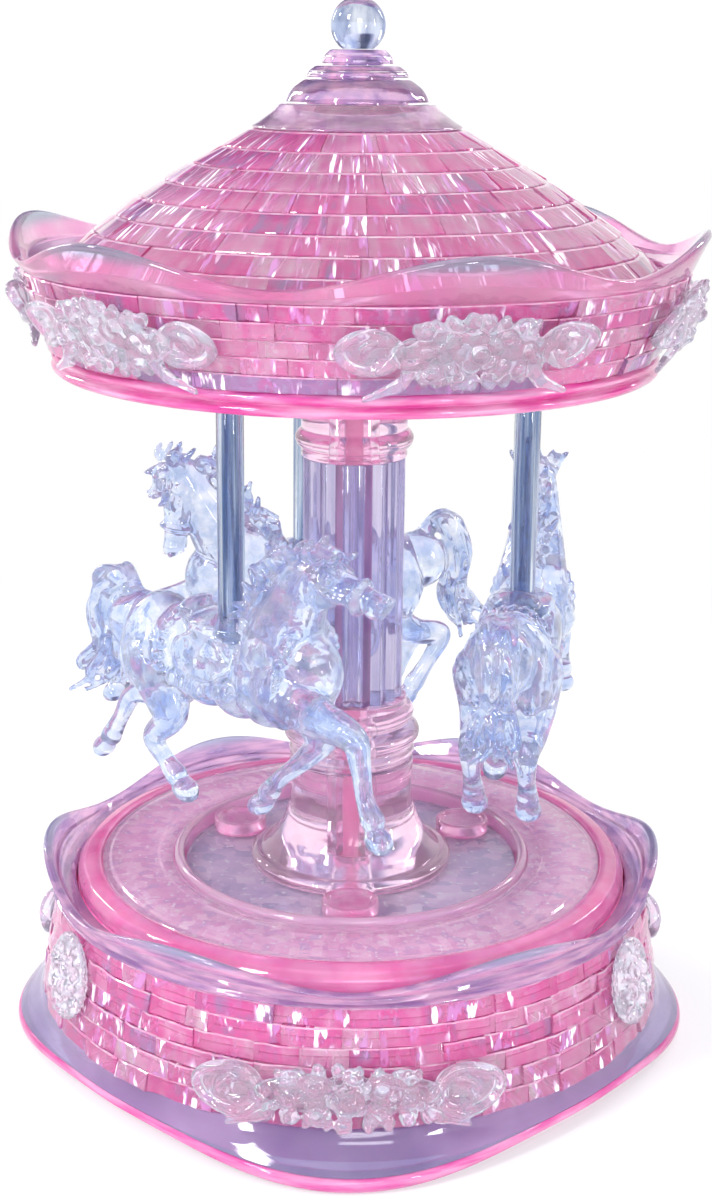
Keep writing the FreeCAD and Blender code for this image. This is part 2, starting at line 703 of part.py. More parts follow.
# Ornaments: clusters of petals and beads with a bow at each end, cut to sit against the wall.
# A bead is given by its share of the half length, its share of the rise and its share of the depth.
GARLAND_BEADS = ((0.2, 0.25, 1.05), (0.37, -0.2, 1.0), (0.54, 0.22, 0.92), (0.7, -0.12, 0.84))
ROSE_SHARE = 1.25
BOW_AT = 0.85
BOW_LOOP_SHARE = 0.75
BOW_WIRE_SHARE = 0.36
BOW_LIFT_SHARE = 0.27
TAIL_FROM, TAIL_TO = 0.7, 0.82
TAIL_TOP_SHARE, TAIL_END_SHARE = 0.4, 0.25


class SlopingWall:
    """The outside of a round wall that an ornament sits on."""

    def __init__(self, foot_r, top_r, foot_z, top_z):
        self.foot_r, self.top_r = float(foot_r), float(top_r)
        self.foot_z, self.top_z = float(foot_z), float(top_z)
        self.slope = (self.top_r - self.foot_r) / (self.top_z - self.foot_z)

    def radius(self, height):
        return self.foot_r + self.slope * (height - self.foot_z)

    def spot(self, angle, height, lift=0.0):
        """A point lifted off the wall at an angle and a height."""
        return around(self.radius(height) + lift, angle, height)

    def outward(self, angle):
        return around(1, angle, -self.slope)

    def seat(self):
        """The wall's own cone, larger by the gap that is left behind an ornament."""
        gap = float(seat_gap)
        foot = Vector(0, 0, self.foot_z)
        return Part.makeCone(self.foot_r + gap, self.top_r + gap, self.top_z - self.foot_z, foot)


def garland_shape(length, wall, height, rise):
    """A garland at the front: beads that get smaller from the middle, a bow loop and a tail at each end."""
    proud = float(garland_proud)
    half = math.degrees(float(length) / 2 / wall.radius(height))
    solids = [Part.makeSphere(proud * ROSE_SHARE, wall.spot(0, height))]
    for side in (-half, half):
        for share, lift, bead in GARLAND_BEADS:
            solids.append(Part.makeSphere(proud * bead, wall.spot(side * share, height + lift * rise)))
        bow = wall.spot(side * BOW_AT, height, proud * BOW_LIFT_SHARE)
        facing = wall.outward(side * BOW_AT)
        solids.append(Part.makeTorus(proud * BOW_LOOP_SHARE, proud * BOW_WIRE_SHARE, bow, facing))
        tail_top = wall.spot(side * TAIL_FROM, height, proud * BOW_LIFT_SHARE / 2)
        run = wall.spot(side * TAIL_TO, height - rise, proud * BOW_LIFT_SHARE / 2) - tail_top
        tail_radii = (proud * TAIL_TOP_SHARE, proud * TAIL_END_SHARE)
        solids.append(Part.makeCone(*tail_radii, run.Length, tail_top, run))
    return solids[0].multiFuse(solids[1:]).cut(wall.seat())


def repeated(shape, angles):
    copies = []
    for angle in angles:
        twin = shape.copy()
        twin.Placement = Placement(Vector(), Rotation(UP, angle))
        copies.append(twin)
    return Part.Compound(copies)


GARLAND_RISE = 1.1
canopy_wall = SlopingWall(canopy_foot_r, canopy_top_r, ceiling_foot, crown_foot)
canopy_wall_mid = (canopy_wall.foot_z + canopy_wall.top_z) / 2
garland_rise = float(canopy_course_h) * GARLAND_RISE
garland = garland_shape(canopy_garland_len, canopy_wall, canopy_wall_mid, garland_rise)
garland_angles = [CANOPY_PHASE + FULL_TURN * k / CROWN_LOBES for k in range(CROWN_LOBES)]
shaped("canopy_garlands", repeated(garland, garland_angles))

# Heights of the ornaments on the base, in courses above the bottom plate
SWAG_COURSES = 1.15
SWAG_RISE = 0.9
MEDALLION_COURSES = 2.4
base_wall = SlopingWall(base_wall_foot_r, base_wall_top_r, plate_top, collar_foot)
swag_z = float(plate_top + base_course_h * SWAG_COURSES)
swag = garland_shape(base_garland_len, base_wall, swag_z, float(base_course_h) * SWAG_RISE)
shaped("base_garlands", repeated(swag, BASE_GARLAND_ANGLES))

stretch = FreeCAD.Matrix()
stretch.scale(float(medallion_w) / 2, float(garland_proud), float(medallion_h) / 2)
medallion = Part.makeSphere(1).transformGeometry(stretch)
medallion.translate(base_wall.spot(0, float(plate_top + base_course_h * MEDALLION_COURSES)))
shaped("base_medallions", repeated(medallion.cut(base_wall.seat()), MEDALLION_ANGLES))

# Movement. The drum's arbor lies along +X above the barrel, and the governor's arbors lie beside it.
pinion_r = tooth_module * (PINION_TEETH / 2)
wheel_r = tooth_module * (WHEEL_TEETH / 2)
fly_pinion_r = tooth_module * (FLY_PINION_TEETH / 2)
crown_r = tooth_module * (CROWN_TEETH / 2)
ADDENDUM = 0.8
DEDENDUM = 1.05
PRESSURE_ANGLE = math.radians(25)
addendum = tooth_module * ADDENDUM
dedendum = tooth_module * DEDENDUM
frame_top = plate_top + frame_thick
arbor_z = frame_top + wheel_r + addendum + moving_gap
crown_pitch_z = arbor_z - pinion_r
lid_foot = frame_top + moving_gap + barrel_h
barrel_r = crown_r + crown_face_w / 2 + seat_gap
fly_y = wheel_r + fly_pinion_r
fan_y = fly_y * 2

pinion_x = crown_r - crown_face_w / 2
near_bearing_x = barrel_r + moving_gap
drum_x = near_bearing_x + bearing_thick + moving_gap
drum_end_x = drum_x + drum_len
wheel_x = drum_end_x + moving_gap
gear_x = wheel_x + gear_face_w + moving_gap
far_bearing_x = gear_x + gear_face_w + moving_gap
arbor_end_x = far_bearing_x + bearing_thick
fly_bearing_x = wheel_x - moving_gap - bearing_thick
fan_end_x = fly_bearing_x - moving_gap
fan_x = fan_end_x - fan_len
fan_bearing_x = fan_x - moving_gap - bearing_thick

# Movement frame: a plate with upright bearings for the three arbors
frame_plate = block("frame_plate", frame_back + frame_front, frame_comb_side + frame_fan_side, frame_thick,
                    -frame_back, -frame_comb_side, plate_top)
bearing_h = arbor_z + bearing_rise - frame_top
uprights = [
    block("near_bearing", bearing_thick, bearing_w, bearing_h, near_bearing_x, bearing_w * -0.5, frame_top),
    block("fly_bearing", bearing_thick, bearing_w, bearing_h, fly_bearing_x, fly_y - bearing_w / 2,
          frame_top),
    block("fan_bearing", bearing_thick, bearing_w, bearing_h, fan_bearing_x, fan_y - bearing_w / 2,
          frame_top),
    block("far_bearing", bearing_thick, fan_y + bearing_w, bearing_h, far_bearing_x, bearing_w * -0.5,
          frame_top),
]
drum_bore = cylinder("drum_bore", drum_arbor_r + running_fit, arbor_end_x, 0, 0, arbor_z, TIP_OVER)
fly_bore = cylinder("fly_bore", fly_arbor_r + running_fit, arbor_end_x, 0, fly_y, arbor_z, TIP_OVER)
fan_bore = cylinder("fan_bore", fly_arbor_r + running_fit, arbor_end_x, 0, fan_y, arbor_z, TIP_OVER)
arbor_bore = cylinder("arbor_bore", arbor_r + running_fit, frame_thick, 0, 0, plate_top)
screw_inset = screw_head_r * 2
screw_back_x = screw_inset - frame_back
screw_comb_y = screw_inset - frame_comb_side
screw_fan_y = frame_fan_side - screw_inset
screw_spots = [(screw_back_x, screw_comb_y), (screw_back_x, screw_fan_y),
               (frame_front - screw_inset, screw_comb_y), (fan_bearing_x - screw_inset, screw_fan_y)]
frame_holes = [cylinder(f"frame_hole_{k + 1}", screw_r + running_fit, frame_thick, x, y, plate_top)
               for k, (x, y) in enumerate(screw_spots)]
frame_bores = joined("frame_bores", [drum_bore, fly_bore, fan_bore, arbor_bore] + frame_holes)
keep(cut("frame_casting", joined("frame_blank", [frame_plate] + uprights), frame_bores), "movement_frame")

# The frame's screws, and the blind holes for them in the bottom plate
frame_screws = []
plate_holes = []
for k, (x, y) in enumerate(screw_spots):
    head = cylinder(f"frame_screw_head_{k + 1}", screw_head_r, screw_head_h, x, y, frame_top)
    shank = cylinder(f"frame_screw_shank_{k + 1}", screw_r, frame_thick + screw_bite, x, y,
                     plate_top - screw_bite)
    frame_screws.append(joined(f"frame_screw_{k + 1}", [head, shank]))
    plate_holes.append(cylinder(f"plate_hole_{k + 1}", screw_r + running_fit, screw_bite + seat_gap, x, y,
                                plate_top - screw_bite - seat_gap))
keep(group("frame_screw_group", frame_screws), "frame_screws")
keep(cut("base_plate_drilled", base_plate_blank, joined("plate_holes", plate_holes)), "base_plate")

# Spring barrel, open at the top, and the mainspring coiled in it
barrel_foot = frame_top + moving_gap
turned("spring_barrel", [
    (arbor_r + running_fit, barrel_foot), (barrel_r, barrel_foot), (barrel_r, lid_foot),
    (barrel_r - barrel_wall, lid_foot), (barrel_r - barrel_wall, barrel_foot + barrel_wall),
    (arbor_r + running_fit, barrel_foot + barrel_wall)])


SPRING_TURNS = 5
POINTS_PER_TURN = 18


def spiral(start_r, end_r, turns, height):
    steps = turns * POINTS_PER_TURN
    points = []
    for k in range(steps + 1):
        share = k / steps
        points.append(around(between(start_r, end_r, share), FULL_TURN * turns * share, height))
    return Part.BSplineCurve(points).toShape()


def mainspring_shape():
    foot = float(barrel_foot + barrel_wall + seat_gap)
    start = float(arbor_core_r + moving_gap)
    end = float(barrel_r - barrel_wall - seat_gap - spring_thick)
    inner = spiral(start, end, SPRING_TURNS, foot)
    outer = spiral(start + float(spring_thick), end + float(spring_thick), SPRING_TURNS, foot)
    caps = [Part.makeLine(inner.Vertexes[i].Point, outer.Vertexes[i].Point) for i in (0, -1)]
    strip = Part.Face(Part.Wire(Part.__sortEdges__([inner, caps[1], outer, caps[0]])))
    return strip.extrude(Vector(0, 0, float(spring_band_h)))


shaped("mainspring", mainspring_shape())


# Barrel lid with upright crown teeth that drive the drum's pinion
def crown_tooth(angle_deg):
    """Straight sided tooth across the lid's face, centred at an angle from +X."""
    pitch_half = (math.pi * float(tooth_module) / 2 - float(tooth_backlash)) / 2
    slope = math.tan(PRESSURE_ANGLE)
    tip_half = pitch_half - float(addendum) * slope
    root_half = pitch_half + float(dedendum) * slope
    top = float(crown_pitch_z + addendum)
    root = float(crown_pitch_z - dedendum)
    inner = float(crown_r - crown_face_w / 2)
    profile = [Vector(inner, -root_half, root), Vector(inner, root_half, root), Vector(inner, tip_half, top),
               Vector(inner, -tip_half, top)]
    tooth = Part.Face(Part.makePolygon(profile + profile[:1])).extrude(Vector(float(crown_face_w), 0, 0))
    tooth.rotate(Vector(), UP, angle_deg)
    return tooth


def crown_wheel_shape():
    root = float(crown_pitch_z - dedendum)
    disc = Part.makeCylinder(float(barrel_r), root - float(lid_foot), Vector(0, 0, float(lid_foot)))
    bore = Part.makeCylinder(float(press_r), root, Vector())
    teeth = [crown_tooth(FULL_TURN * (k + 0.5) / CROWN_TEETH) for k in range(CROWN_TEETH)]
    return disc.cut(bore).multiFuse(teeth)


shaped("crown_wheel", crown_wheel_shape())
keep(cylinder("drive_rod", shaft_r, hub_foot + hub_h - lid_foot, 0, 0, lid_foot), "drive_shaft")

# Winding arbor up into the barrel, and the winged key under the bottom plate
key_foot = key_floor_gap
key_top = key_foot + key_wing_h
arbor_foot = key_foot + key_wing_h * 0.3
core_foot = barrel_foot + barrel_wall + seat_gap * 2
arbor_top = lid_foot - moving_gap
keep(joined("arbor_turning", [
    cylinder("arbor_rod", arbor_r, arbor_top - arbor_foot, 0, 0, arbor_foot),
    cylinder("arbor_core", arbor_core_r, arbor_top - core_foot, 0, 0, core_foot)]), "winding_arbor")
wing = block("key_wing", key_wing_len, key_wing_thick, key_wing_h, key_wing_len * -0.5, key_wing_thick * -0.5,
             key_foot)
wing_ends = [cylinder(f"key_wing_end_{k}", key_wing_h * 0.5, key_wing_thick, key_wing_len * side,
                      key_wing_thick * 0.5, key_foot + key_wing_h * 0.5, Rotation(ALONG_X, 90))
             for k, side in enumerate((-0.5, 0.5))]
boss = cylinder("key_boss", key_boss_r, key_wing_h, 0, 0, key_foot)
key_bore = cylinder("key_bore", arbor_r + seat_gap * 0.2, key_top - arbor_foot, 0, 0, arbor_foot)
keep(cut("key_casting", joined("key_blank", [wing, boss] + wing_ends), key_bore), "winding_key")


# Toothed wheels of the train
def involute_flank(base_r, tip_r, points=5):
    """Polar points of one flank from the base circle to the tip circle."""
    flank = []
    for k in range(points):
        radius = between(base_r, tip_r, k / (points - 1))
        roll = math.sqrt(max((radius / base_r) ** 2 - 1, 0))
        flank.append((radius, roll - math.atan(roll)))
    return flank


def gear_shape(teeth, width, start_x, y, phase_deg):
    """Spur gear on an arbor along +X, with a tooth centred at an angle from +Y towards +Z."""
    module = float(tooth_module)
    pitch_r = module * teeth / 2
    base_r = pitch_r * math.cos(PRESSURE_ANGLE)
    tip_r = pitch_r + float(addendum)
    root_r = pitch_r - float(dedendum)
    half_tooth = (math.pi * module / 2 - float(tooth_backlash)) / 2 / pitch_r
    half_base = half_tooth + math.tan(PRESSURE_ANGLE) - PRESSURE_ANGLE
    flank = involute_flank(max(base_r, root_r), tip_r)
    outline = []
    for k in range(teeth):
        middle = math.radians(phase_deg) + 2 * math.pi * k / teeth
        left = [(root_r, middle - half_base)] + [(r, middle - half_base + roll) for r, roll in flank]
        right = [(r, 2 * middle - angle) for r, angle in reversed(left)]
        outline += left + right
    spots = [Vector(0, r * math.cos(angle), r * math.sin(angle)) for r, angle in outline]
    blank = Part.Face(Part.makePolygon(spots + spots[:1])).extrude(Vector(float(width), 0, 0))
    blank.translate(Vector(float(start_x), float(y), float(arbor_z)))
    return blank


def arbor_shape(radius, start_x, end_x, y):
    start = Vector(float(start_x), float(y), float(arbor_z))
    return Part.makeCylinder(float(radius), float(end_x) - float(start_x), start, ALONG_X)


# Pinned drum: tune pins stand in rows under the comb's teeth
PIN_ROOT = 0.9
PIN_SKEW = 2.0


def has_pin(row, tooth):
    """A regular scatter that stands for the tune."""
    return (row * 5 + tooth * 3) % 7 < 2


def drum_shape():
    drum = arbor_shape(drum_r, drum_x, drum_end_x, 0)
    pins = []
    for row in range(PIN_ROWS):
        for k in range(COMB_TEETH):
            if not has_pin(row, k):
                continue
            angle = math.radians(FULL_TURN * (row + 0.5) / PIN_ROWS + k * PIN_SKEW)
            outward = Vector(0, math.cos(angle), math.sin(angle))
            spot = Vector(comb_tooth_x(k), 0, float(arbor_z)) + outward * (float(drum_r) * PIN_ROOT)
            length = float(drum_r) * (1 - PIN_ROOT) + float(pin_h)
            pins.append(Part.makeCylinder(float(pin_r), length, spot, outward))
    bore = arbor_shape(drum_arbor_r + seat_gap * 0.2, drum_x, drum_end_x, 0)
    return drum.multiFuse(pins).cut(bore)


def comb_tooth_x(k):
    return float(drum_x) + float(drum_len) * (k + 0.5) / COMB_TEETH


shaped("music_drum", drum_shape())
pinion = gear_shape(PINION_TEETH, crown_face_w, pinion_x, 0, -90)
shaped("drum_pinion", pinion.fuse(arbor_shape(drum_arbor_r, pinion_x, arbor_end_x, 0)))
gear_bore = arbor_shape(drum_arbor_r + seat_gap * 0.2, gear_x, gear_x + gear_face_w, 0)
shaped("drum_gear", gear_shape(WHEEL_TEETH, gear_face_w, gear_x, 0, 0).cut(gear_bore))

# Governor: an intermediate wheel and the fan that holds the speed down
half_space = FULL_TURN / FLY_PINION_TEETH / 2
fly_pinion = gear_shape(FLY_PINION_TEETH, gear_face_w, gear_x, fly_y, 180 + half_space)
fly_wheel = gear_shape(WHEEL_TEETH, gear_face_w, wheel_x, fly_y, 0)
fly_arbor = arbor_shape(fly_arbor_r, fly_bearing_x, arbor_end_x, fly_y)
shaped("governor_wheel", fly_arbor.multiFuse([fly_pinion, fly_wheel]))
fan_pinion = gear_shape(FLY_PINION_TEETH, gear_face_w, wheel_x, fan_y, 180 + half_space)
fan_arbor = arbor_shape(fly_arbor_r, fan_bearing_x, arbor_end_x, fan_y)
blade_corner = Vector(float(fan_x), float(fan_y - fan_r), float(arbor_z - fan_blade_thick / 2))
fan_blade = Part.makeBox(float(fan_len), float(fan_r * 2), float(fan_blade_thick), blade_corner)
shaped("governor_fan", fan_arbor.multiFuse([fan_pinion, fan_blade]))

# Comb: tuned steel teeth that reach to just clear of the pins, on its own block
comb_tip_y = -(drum_r + pin_h + seat_gap * 2)
comb_root_y = comb_tip_y - comb_tooth_len
comb_back_y = comb_root_y - comb_root_w
comb_foot_z = arbor_z - comb_thick / 2
comb_pitch = drum_len / COMB_TEETH
comb_bars = [block("comb_root", drum_len, comb_root_w, comb_thick, drum_x, comb_back_y, comb_foot_z)]
for k in range(COMB_TEETH):
    comb_bars.append(block(f"comb_tooth_{k + 1}", comb_pitch - comb_slit, comb_tooth_len, comb_thick,
                           drum_x + comb_pitch * k + comb_slit / 2, comb_root_y, comb_foot_z))
comb_screw_y = comb_back_y + comb_root_w / 2
comb_screw_xs = [drum_x + screw_inset, drum_x + drum_len / 2, drum_x + drum_len - screw_inset]
comb_holes = [cylinder(f"comb_hole_{k + 1}", screw_r + running_fit, comb_thick, x, comb_screw_y, comb_foot_z)
              for k, x in enumerate(comb_screw_xs)]
keep(cut("comb_plate", joined("comb_blank", comb_bars), joined("comb_holes", comb_holes)), "comb")
comb_block = block("comb_riser", drum_len, comb_root_w, comb_foot_z - frame_top, drum_x, comb_back_y,
                   frame_top)
block_holes = [cylinder(f"block_hole_{k + 1}", screw_r + running_fit, screw_bite + seat_gap, x, comb_screw_y,
                        comb_foot_z - screw_bite - seat_gap) for k, x in enumerate(comb_screw_xs)]
keep(cut("comb_block_drilled", comb_block, joined("block_holes", block_holes)), "comb_block")
comb_screws = []
for k, x in enumerate(comb_screw_xs):
    head = cylinder(f"comb_screw_head_{k + 1}", screw_head_r, screw_head_h, x, comb_screw_y,
                    comb_foot_z + comb_thick)
    shank = cylinder(f"comb_screw_shank_{k + 1}", screw_r, comb_thick + screw_bite, x, comb_screw_y,
                     comb_foot_z - screw_bite)
    comb_screws.append(joined(f"comb_screw_{k + 1}", [head, shank]))
keep(group("comb_screw_group", comb_screws), "comb_screws")

doc.recompute()
for thing in doc.Objects:
    if "Invalid" in thing.State or "Error" in thing.State:
        raise RuntimeError(f"{thing.Label} failed: {thing.State}")
for piece in pieces:
    if piece.Shape.isNull() or not piece.Shape.isValid() or not piece.Shape.Solids:
        raise RuntimeError(f"{piece.Label} has no valid solid")
os.makedirs("parts", exist_ok=True)
for piece in pieces:
    piece.Shape.exportStep(f"parts/{piece.Label}.step")
    print(f"{piece.Label}: {len(piece.Shape.Solids)} solid(s), {piece.Shape.Volume:.1f} mm3")
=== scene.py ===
"""Carousel music box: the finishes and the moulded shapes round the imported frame. Metres, +Z up."""
import json
import random
from math import atan2, cos, pi, radians, sin

import bmesh
import bpy
from bmesh import ops
from mathutils import Matrix, Vector, noise


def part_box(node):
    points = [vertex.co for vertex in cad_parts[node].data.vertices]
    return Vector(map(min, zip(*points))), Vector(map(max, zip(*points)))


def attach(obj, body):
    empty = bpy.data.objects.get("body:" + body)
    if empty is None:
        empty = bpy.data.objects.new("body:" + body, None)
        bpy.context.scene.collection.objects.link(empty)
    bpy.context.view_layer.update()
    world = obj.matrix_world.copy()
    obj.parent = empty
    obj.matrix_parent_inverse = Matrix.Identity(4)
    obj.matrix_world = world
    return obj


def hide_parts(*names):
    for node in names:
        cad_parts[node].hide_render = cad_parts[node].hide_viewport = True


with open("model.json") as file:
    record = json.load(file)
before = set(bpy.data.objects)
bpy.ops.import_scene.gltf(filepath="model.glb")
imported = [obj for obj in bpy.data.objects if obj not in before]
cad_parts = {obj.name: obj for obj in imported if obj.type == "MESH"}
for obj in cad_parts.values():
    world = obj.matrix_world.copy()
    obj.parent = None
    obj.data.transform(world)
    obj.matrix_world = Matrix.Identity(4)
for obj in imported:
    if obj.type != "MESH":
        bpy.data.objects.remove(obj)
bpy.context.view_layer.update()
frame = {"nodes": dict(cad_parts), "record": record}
scene = bpy.context.scene

# Studio
# The camera stands level with the caps of the roof. A pale dome with a few slate panels gives the clear
# plastic its dark edges, and eight small soft boxes give it its highlights.
MM = 0.001
IMAGE_H = 1200
FOCAL_PX = 1906.2
AXIS_SHIFT_PX = 3
SENSOR = 36
CAMERA_SPOT = Vector((0, -302.9, 163)) * MM
LOOK_DOWN = radians(16.28)
ROLL = radians(0.52)
optics = bpy.data.cameras.new("camera")
optics.sensor_width = SENSOR
optics.lens = FOCAL_PX / IMAGE_H * SENSOR
optics.shift_x = AXIS_SHIFT_PX / IMAGE_H
camera = bpy.data.objects.new("camera", optics)
camera.matrix_world = (Matrix.Translation(CAMERA_SPOT) @ Matrix.Rotation(pi / 2 - LOOK_DOWN, 4, "X")
                       @ Matrix.Rotation(ROLL, 4, "Z"))
scene.collection.objects.link(camera)
scene.camera = camera
scene.view_settings.view_transform = "Standard"
scene.cycles.max_bounces = 40
scene.cycles.transmission_bounces = 40
scene.cycles.glossy_bounces = 12
scene.cycles.diffuse_bounces = 6
scene.cycles.sample_clamp_indirect = 6
scene.cycles.use_denoising = True


class Value:
    """A shader socket that takes part in sums: each operator adds a Math node."""

    def __init__(self, nodes, socket):
        self.nodes, self.socket = nodes, socket

    def other(self, out):
        """Another output of the same node."""
        return Value(self.nodes, self.socket.node.outputs[out])

    def maths(self, operation, first, second):
        return self.nodes.add("Math", {0: first, 1: second}, operation=operation)

    def capped(self, limit):
        return self.maths("MINIMUM", self, limit)

    def __add__(self, term):
        return self.maths("ADD", self, term)

    def __sub__(self, term):
        return self.maths("SUBTRACT", self, term)

    def __rsub__(self, term):
        return self.maths("SUBTRACT", term, self)

    def __mul__(self, factor):
        return self.maths("MULTIPLY", self, factor)

    __radd__ = __add__
    __rmul__ = __mul__


class Nodes:
    """The node tree of a material or a world, filled one node at a time."""

    def __init__(self, owner):
        owner.use_nodes = True
        self.owner, self.tree = owner, owner.node_tree
        self.tree.nodes.clear()

    def add(self, kind, sockets=(), out=0, **settings):
        node = self.tree.nodes.new("ShaderNode" + kind)
        for name, value in settings.items():
            if name == "stops":
                ramp = node.color_ramp
                while len(ramp.elements) < len(value):
                    ramp.elements.new(1)
                for element, (position, colour) in zip(ramp.elements, value):
                    element.position, element.color = position, (*colour, 1)
            else:
                setattr(node, name, value)
        for name, value in dict(sockets).items():
            if isinstance(value, Value):
                self.tree.links.new(value.socket, node.inputs[name])
            else:
                node.inputs[name].default_value = value
        return Value(self, node.outputs[out]) if node.outputs else None

    def place(self, coordinates="Object"):
        """The shaded point, in the piece's own coordinates unless others are named."""
        return self.add("TexCoord", out=coordinates)

    def vector(self, operation, *terms, out=0):
        return self.add("VectorMath", enumerate(terms), out, operation=operation)

    def between(self, value, low, high):
        """0 below one limit, 1 above the other and a soft change between."""
        return self.add("MapRange", {0: value, 1: low, 2: high}, interpolation_type="SMOOTHSTEP")

    def mixed(self, share, first, second):
        """One colour that turns into another."""
        ends = [end if isinstance(end, Value) else (*end, 1) for end in (first, second)]
        return self.add("Mix", {0: share, 6: ends[0], 7: ends[1]}, 2, data_type="RGBA")

    def surface(self, shader, output="OutputMaterial"):
        """Ends the tree and gives its owner back."""
        self.add(output, {"Surface": shader})
        return self.owner


PANELS = 5
PANEL_TURN = 0.9
PANEL_LOW = (0.1, 0.26)
PANEL_HIGH = (0.82, 0.95)
DOME_STOPS = [
    (0, (1, 1, 1)), (0.45, (0.95, 0.95, 1)), (0.7, (0.45, 0.48, 0.66)), (0.92, (0.05, 0.07, 0.14))]
DOME_STRENGTH = 1.2
dome = Nodes(bpy.data.worlds.new("studio"))
facing = dome.add("SeparateXYZ", {0: dome.place("Generated")})
bearing = facing.maths("ARCTAN2", facing, facing.other("Y"))
stripes = dome.add("Math", {0: bearing * PANELS + PANEL_TURN}, operation="COSINE")
lift = facing.other("Z")
height_share = dome.between(lift, *PANEL_LOW) * (1 - dome.between(lift, *PANEL_HIGH))
shade = dome.add("ValToRGB", {0: (0.5 + 0.5 * stripes) * height_share}, stops=DOME_STOPS)
sky = dome.add("Background", {"Color": shade, "Strength": DOME_STRENGTH})
scene.world = dome.surface(sky, "OutputWorld")

MIDDLE = Vector((0, 0, 0.085))
SOFT_BOXES = (  # name, place, width, height, power
    ("key", (-0.42, -0.42, 0.52), 0.12, 0.22, 2.6),
    ("left", (-0.58, 0.06, 0.5), 0.06, 0.12, 0.8),
    ("front_left", (-0.46, -0.6, 0.13), 0.06, 0.12, 0.9),
    ("front_right", (0.4, -0.64, 0.12), 0.06, 0.12, 0.9),
    ("right", (0.62, -0.2, 0.26), 0.04, 0.18, 0.7),
    ("front", (0.1, -0.8, 0.45), 0.3, 0.2, 1.8),
    ("back_left", (-0.46, 0.45, 0.36), 0.04, 0.2, 0.8),
    ("back_right", (0.5, 0.4, 0.42), 0.03, 0.2, 0.7))
for name, spot, width, height, power in SOFT_BOXES:
    lamp = bpy.data.lights.new(name, "AREA")
    lamp.shape = "RECTANGLE"
    lamp.size, lamp.size_y, lamp.energy = width, height, power
    box = bpy.data.objects.new(name, lamp)
    box.location = spot
    box.rotation_euler = (Vector(spot) - MIDDLE).to_track_quat("Z", "Y").to_euler()
    scene.collection.objects.link(box)

FLOOR_R, FLOOR_SIDES = 2.5, 96
FLOOR_DROP = 0.0002
SHADOW_FADE = (0.1, 0.3)
SHADOW_SHARE = 0.5


def as_mesh(bm, name="mould"):
    mesh = bpy.data.meshes.new(name)
    bm.to_mesh(mesh)
    bm.free()
    return mesh


def link_mesh(name, bm):
    thing = bpy.data.objects.new(name, as_mesh(bm, name))
    scene.collection.objects.link(thing)
    return thing


bm = bmesh.new()
ops.create_circle(bm, cap_ends=True, segments=FLOOR_SIDES, radius=FLOOR_R)
ops.translate(bm, verts=bm.verts, vec=(0, 0, -FLOOR_DROP))
floor = link_mesh("floor", bm)
paper = Nodes(bpy.data.materials.new("studio_floor"))
away = paper.between(paper.vector("LENGTH", paper.place(), out="Value"), *SHADOW_FADE)
rays = paper.add("LightPath", out="Is Camera Ray")
seen = rays + rays.other("Is Glossy Ray") + rays.other("Is Transmission Ray")
shown = seen.capped(1) * (SHADOW_SHARE + (1 - SHADOW_SHARE) * away)
matt = paper.add("BsdfDiffuse", {"Color": (0.94, 0.94, 0.95, 1)})
white = paper.add("Emission", {"Color": (1, 1, 1, 1), "Strength": 1})
floor.data.materials.append(paper.surface(paper.add("MixShader", {0: shown, 1: matt, 2: white})))

# Bottom plate and movement cover
# Matt pink mouldings that close the movement in: the plate with the foot ring that the box stands on, and
# the drum that the deck lies on. The drum is the ground behind the clear bricks, so its tint is uneven.
GRAINS_PER_CLOUD = 8
CLOUD_EDGES = (0.35, 0.65)
MATT_DRIFT = 0.15
GRAIN_DEPTH, GRAIN_STRENGTH = 0.05, 0.4


def speckle(nodes, grain_mm, detail=3, stretch=(1, 1, 1)):
    """Noise of a grain size, from the piece's own coordinates."""
    laid = nodes.add("Mapping", {"Vector": nodes.place(), "Scale": stretch})
    return nodes.add("TexNoise", {"Vector": laid, "Scale": 1 / (grain_mm * MM), "Detail": detail})


def bumped(nodes, height, depth_mm, strength):
    return nodes.add("Bump", {"Height": height, "Distance": depth_mm * MM, "Strength": strength})


def matt_plastic(name, pale, deep, grain_mm, rough):
    """Opaque moulded plastic with a fine eggshell grain."""
    nodes = Nodes(bpy.data.materials.new(name))
    cloud = speckle(nodes, grain_mm * GRAINS_PER_CLOUD)
    return nodes.surface(nodes.add("BsdfPrincipled", {
        "Base Color": nodes.mixed(nodes.between(cloud, *CLOUD_EDGES), pale, deep),
        "Roughness": rough + MATT_DRIFT * cloud,
        "Normal": bumped(nodes, speckle(nodes, grain_mm), GRAIN_DEPTH, GRAIN_STRENGTH)}))


def dress(node, material):
    slots = frame["nodes"][node].data.materials
    slots.clear()
    slots.append(material)


cover_pink = matt_plastic("cover_pink", (1, 0.42, 0.7), (0.95, 0.16, 0.48), grain_mm=0.6, rough=0.5)
plate_pink = matt_plastic("plate_pink", (1, 0.38, 0.66), (0.97, 0.31, 0.6), grain_mm=0.5, rough=0.45)
dress("movement_cover", cover_pink)
dress("base_plate", plate_pink)

# Scalloped skirt
# A clear mauve moulding round the foot of the wall, drawn out into four lobes, with a deep pink lip along
# its lower edge. It slips over the bottom plate and its lobes reach down to the table.
POLISH = 0.03
POLISH_DRIFT = 0.03
PLASTIC_IOR = 1.49
TINT_EDGES = (0.3, 0.7)
RIPPLE_DEPTH = 0.25


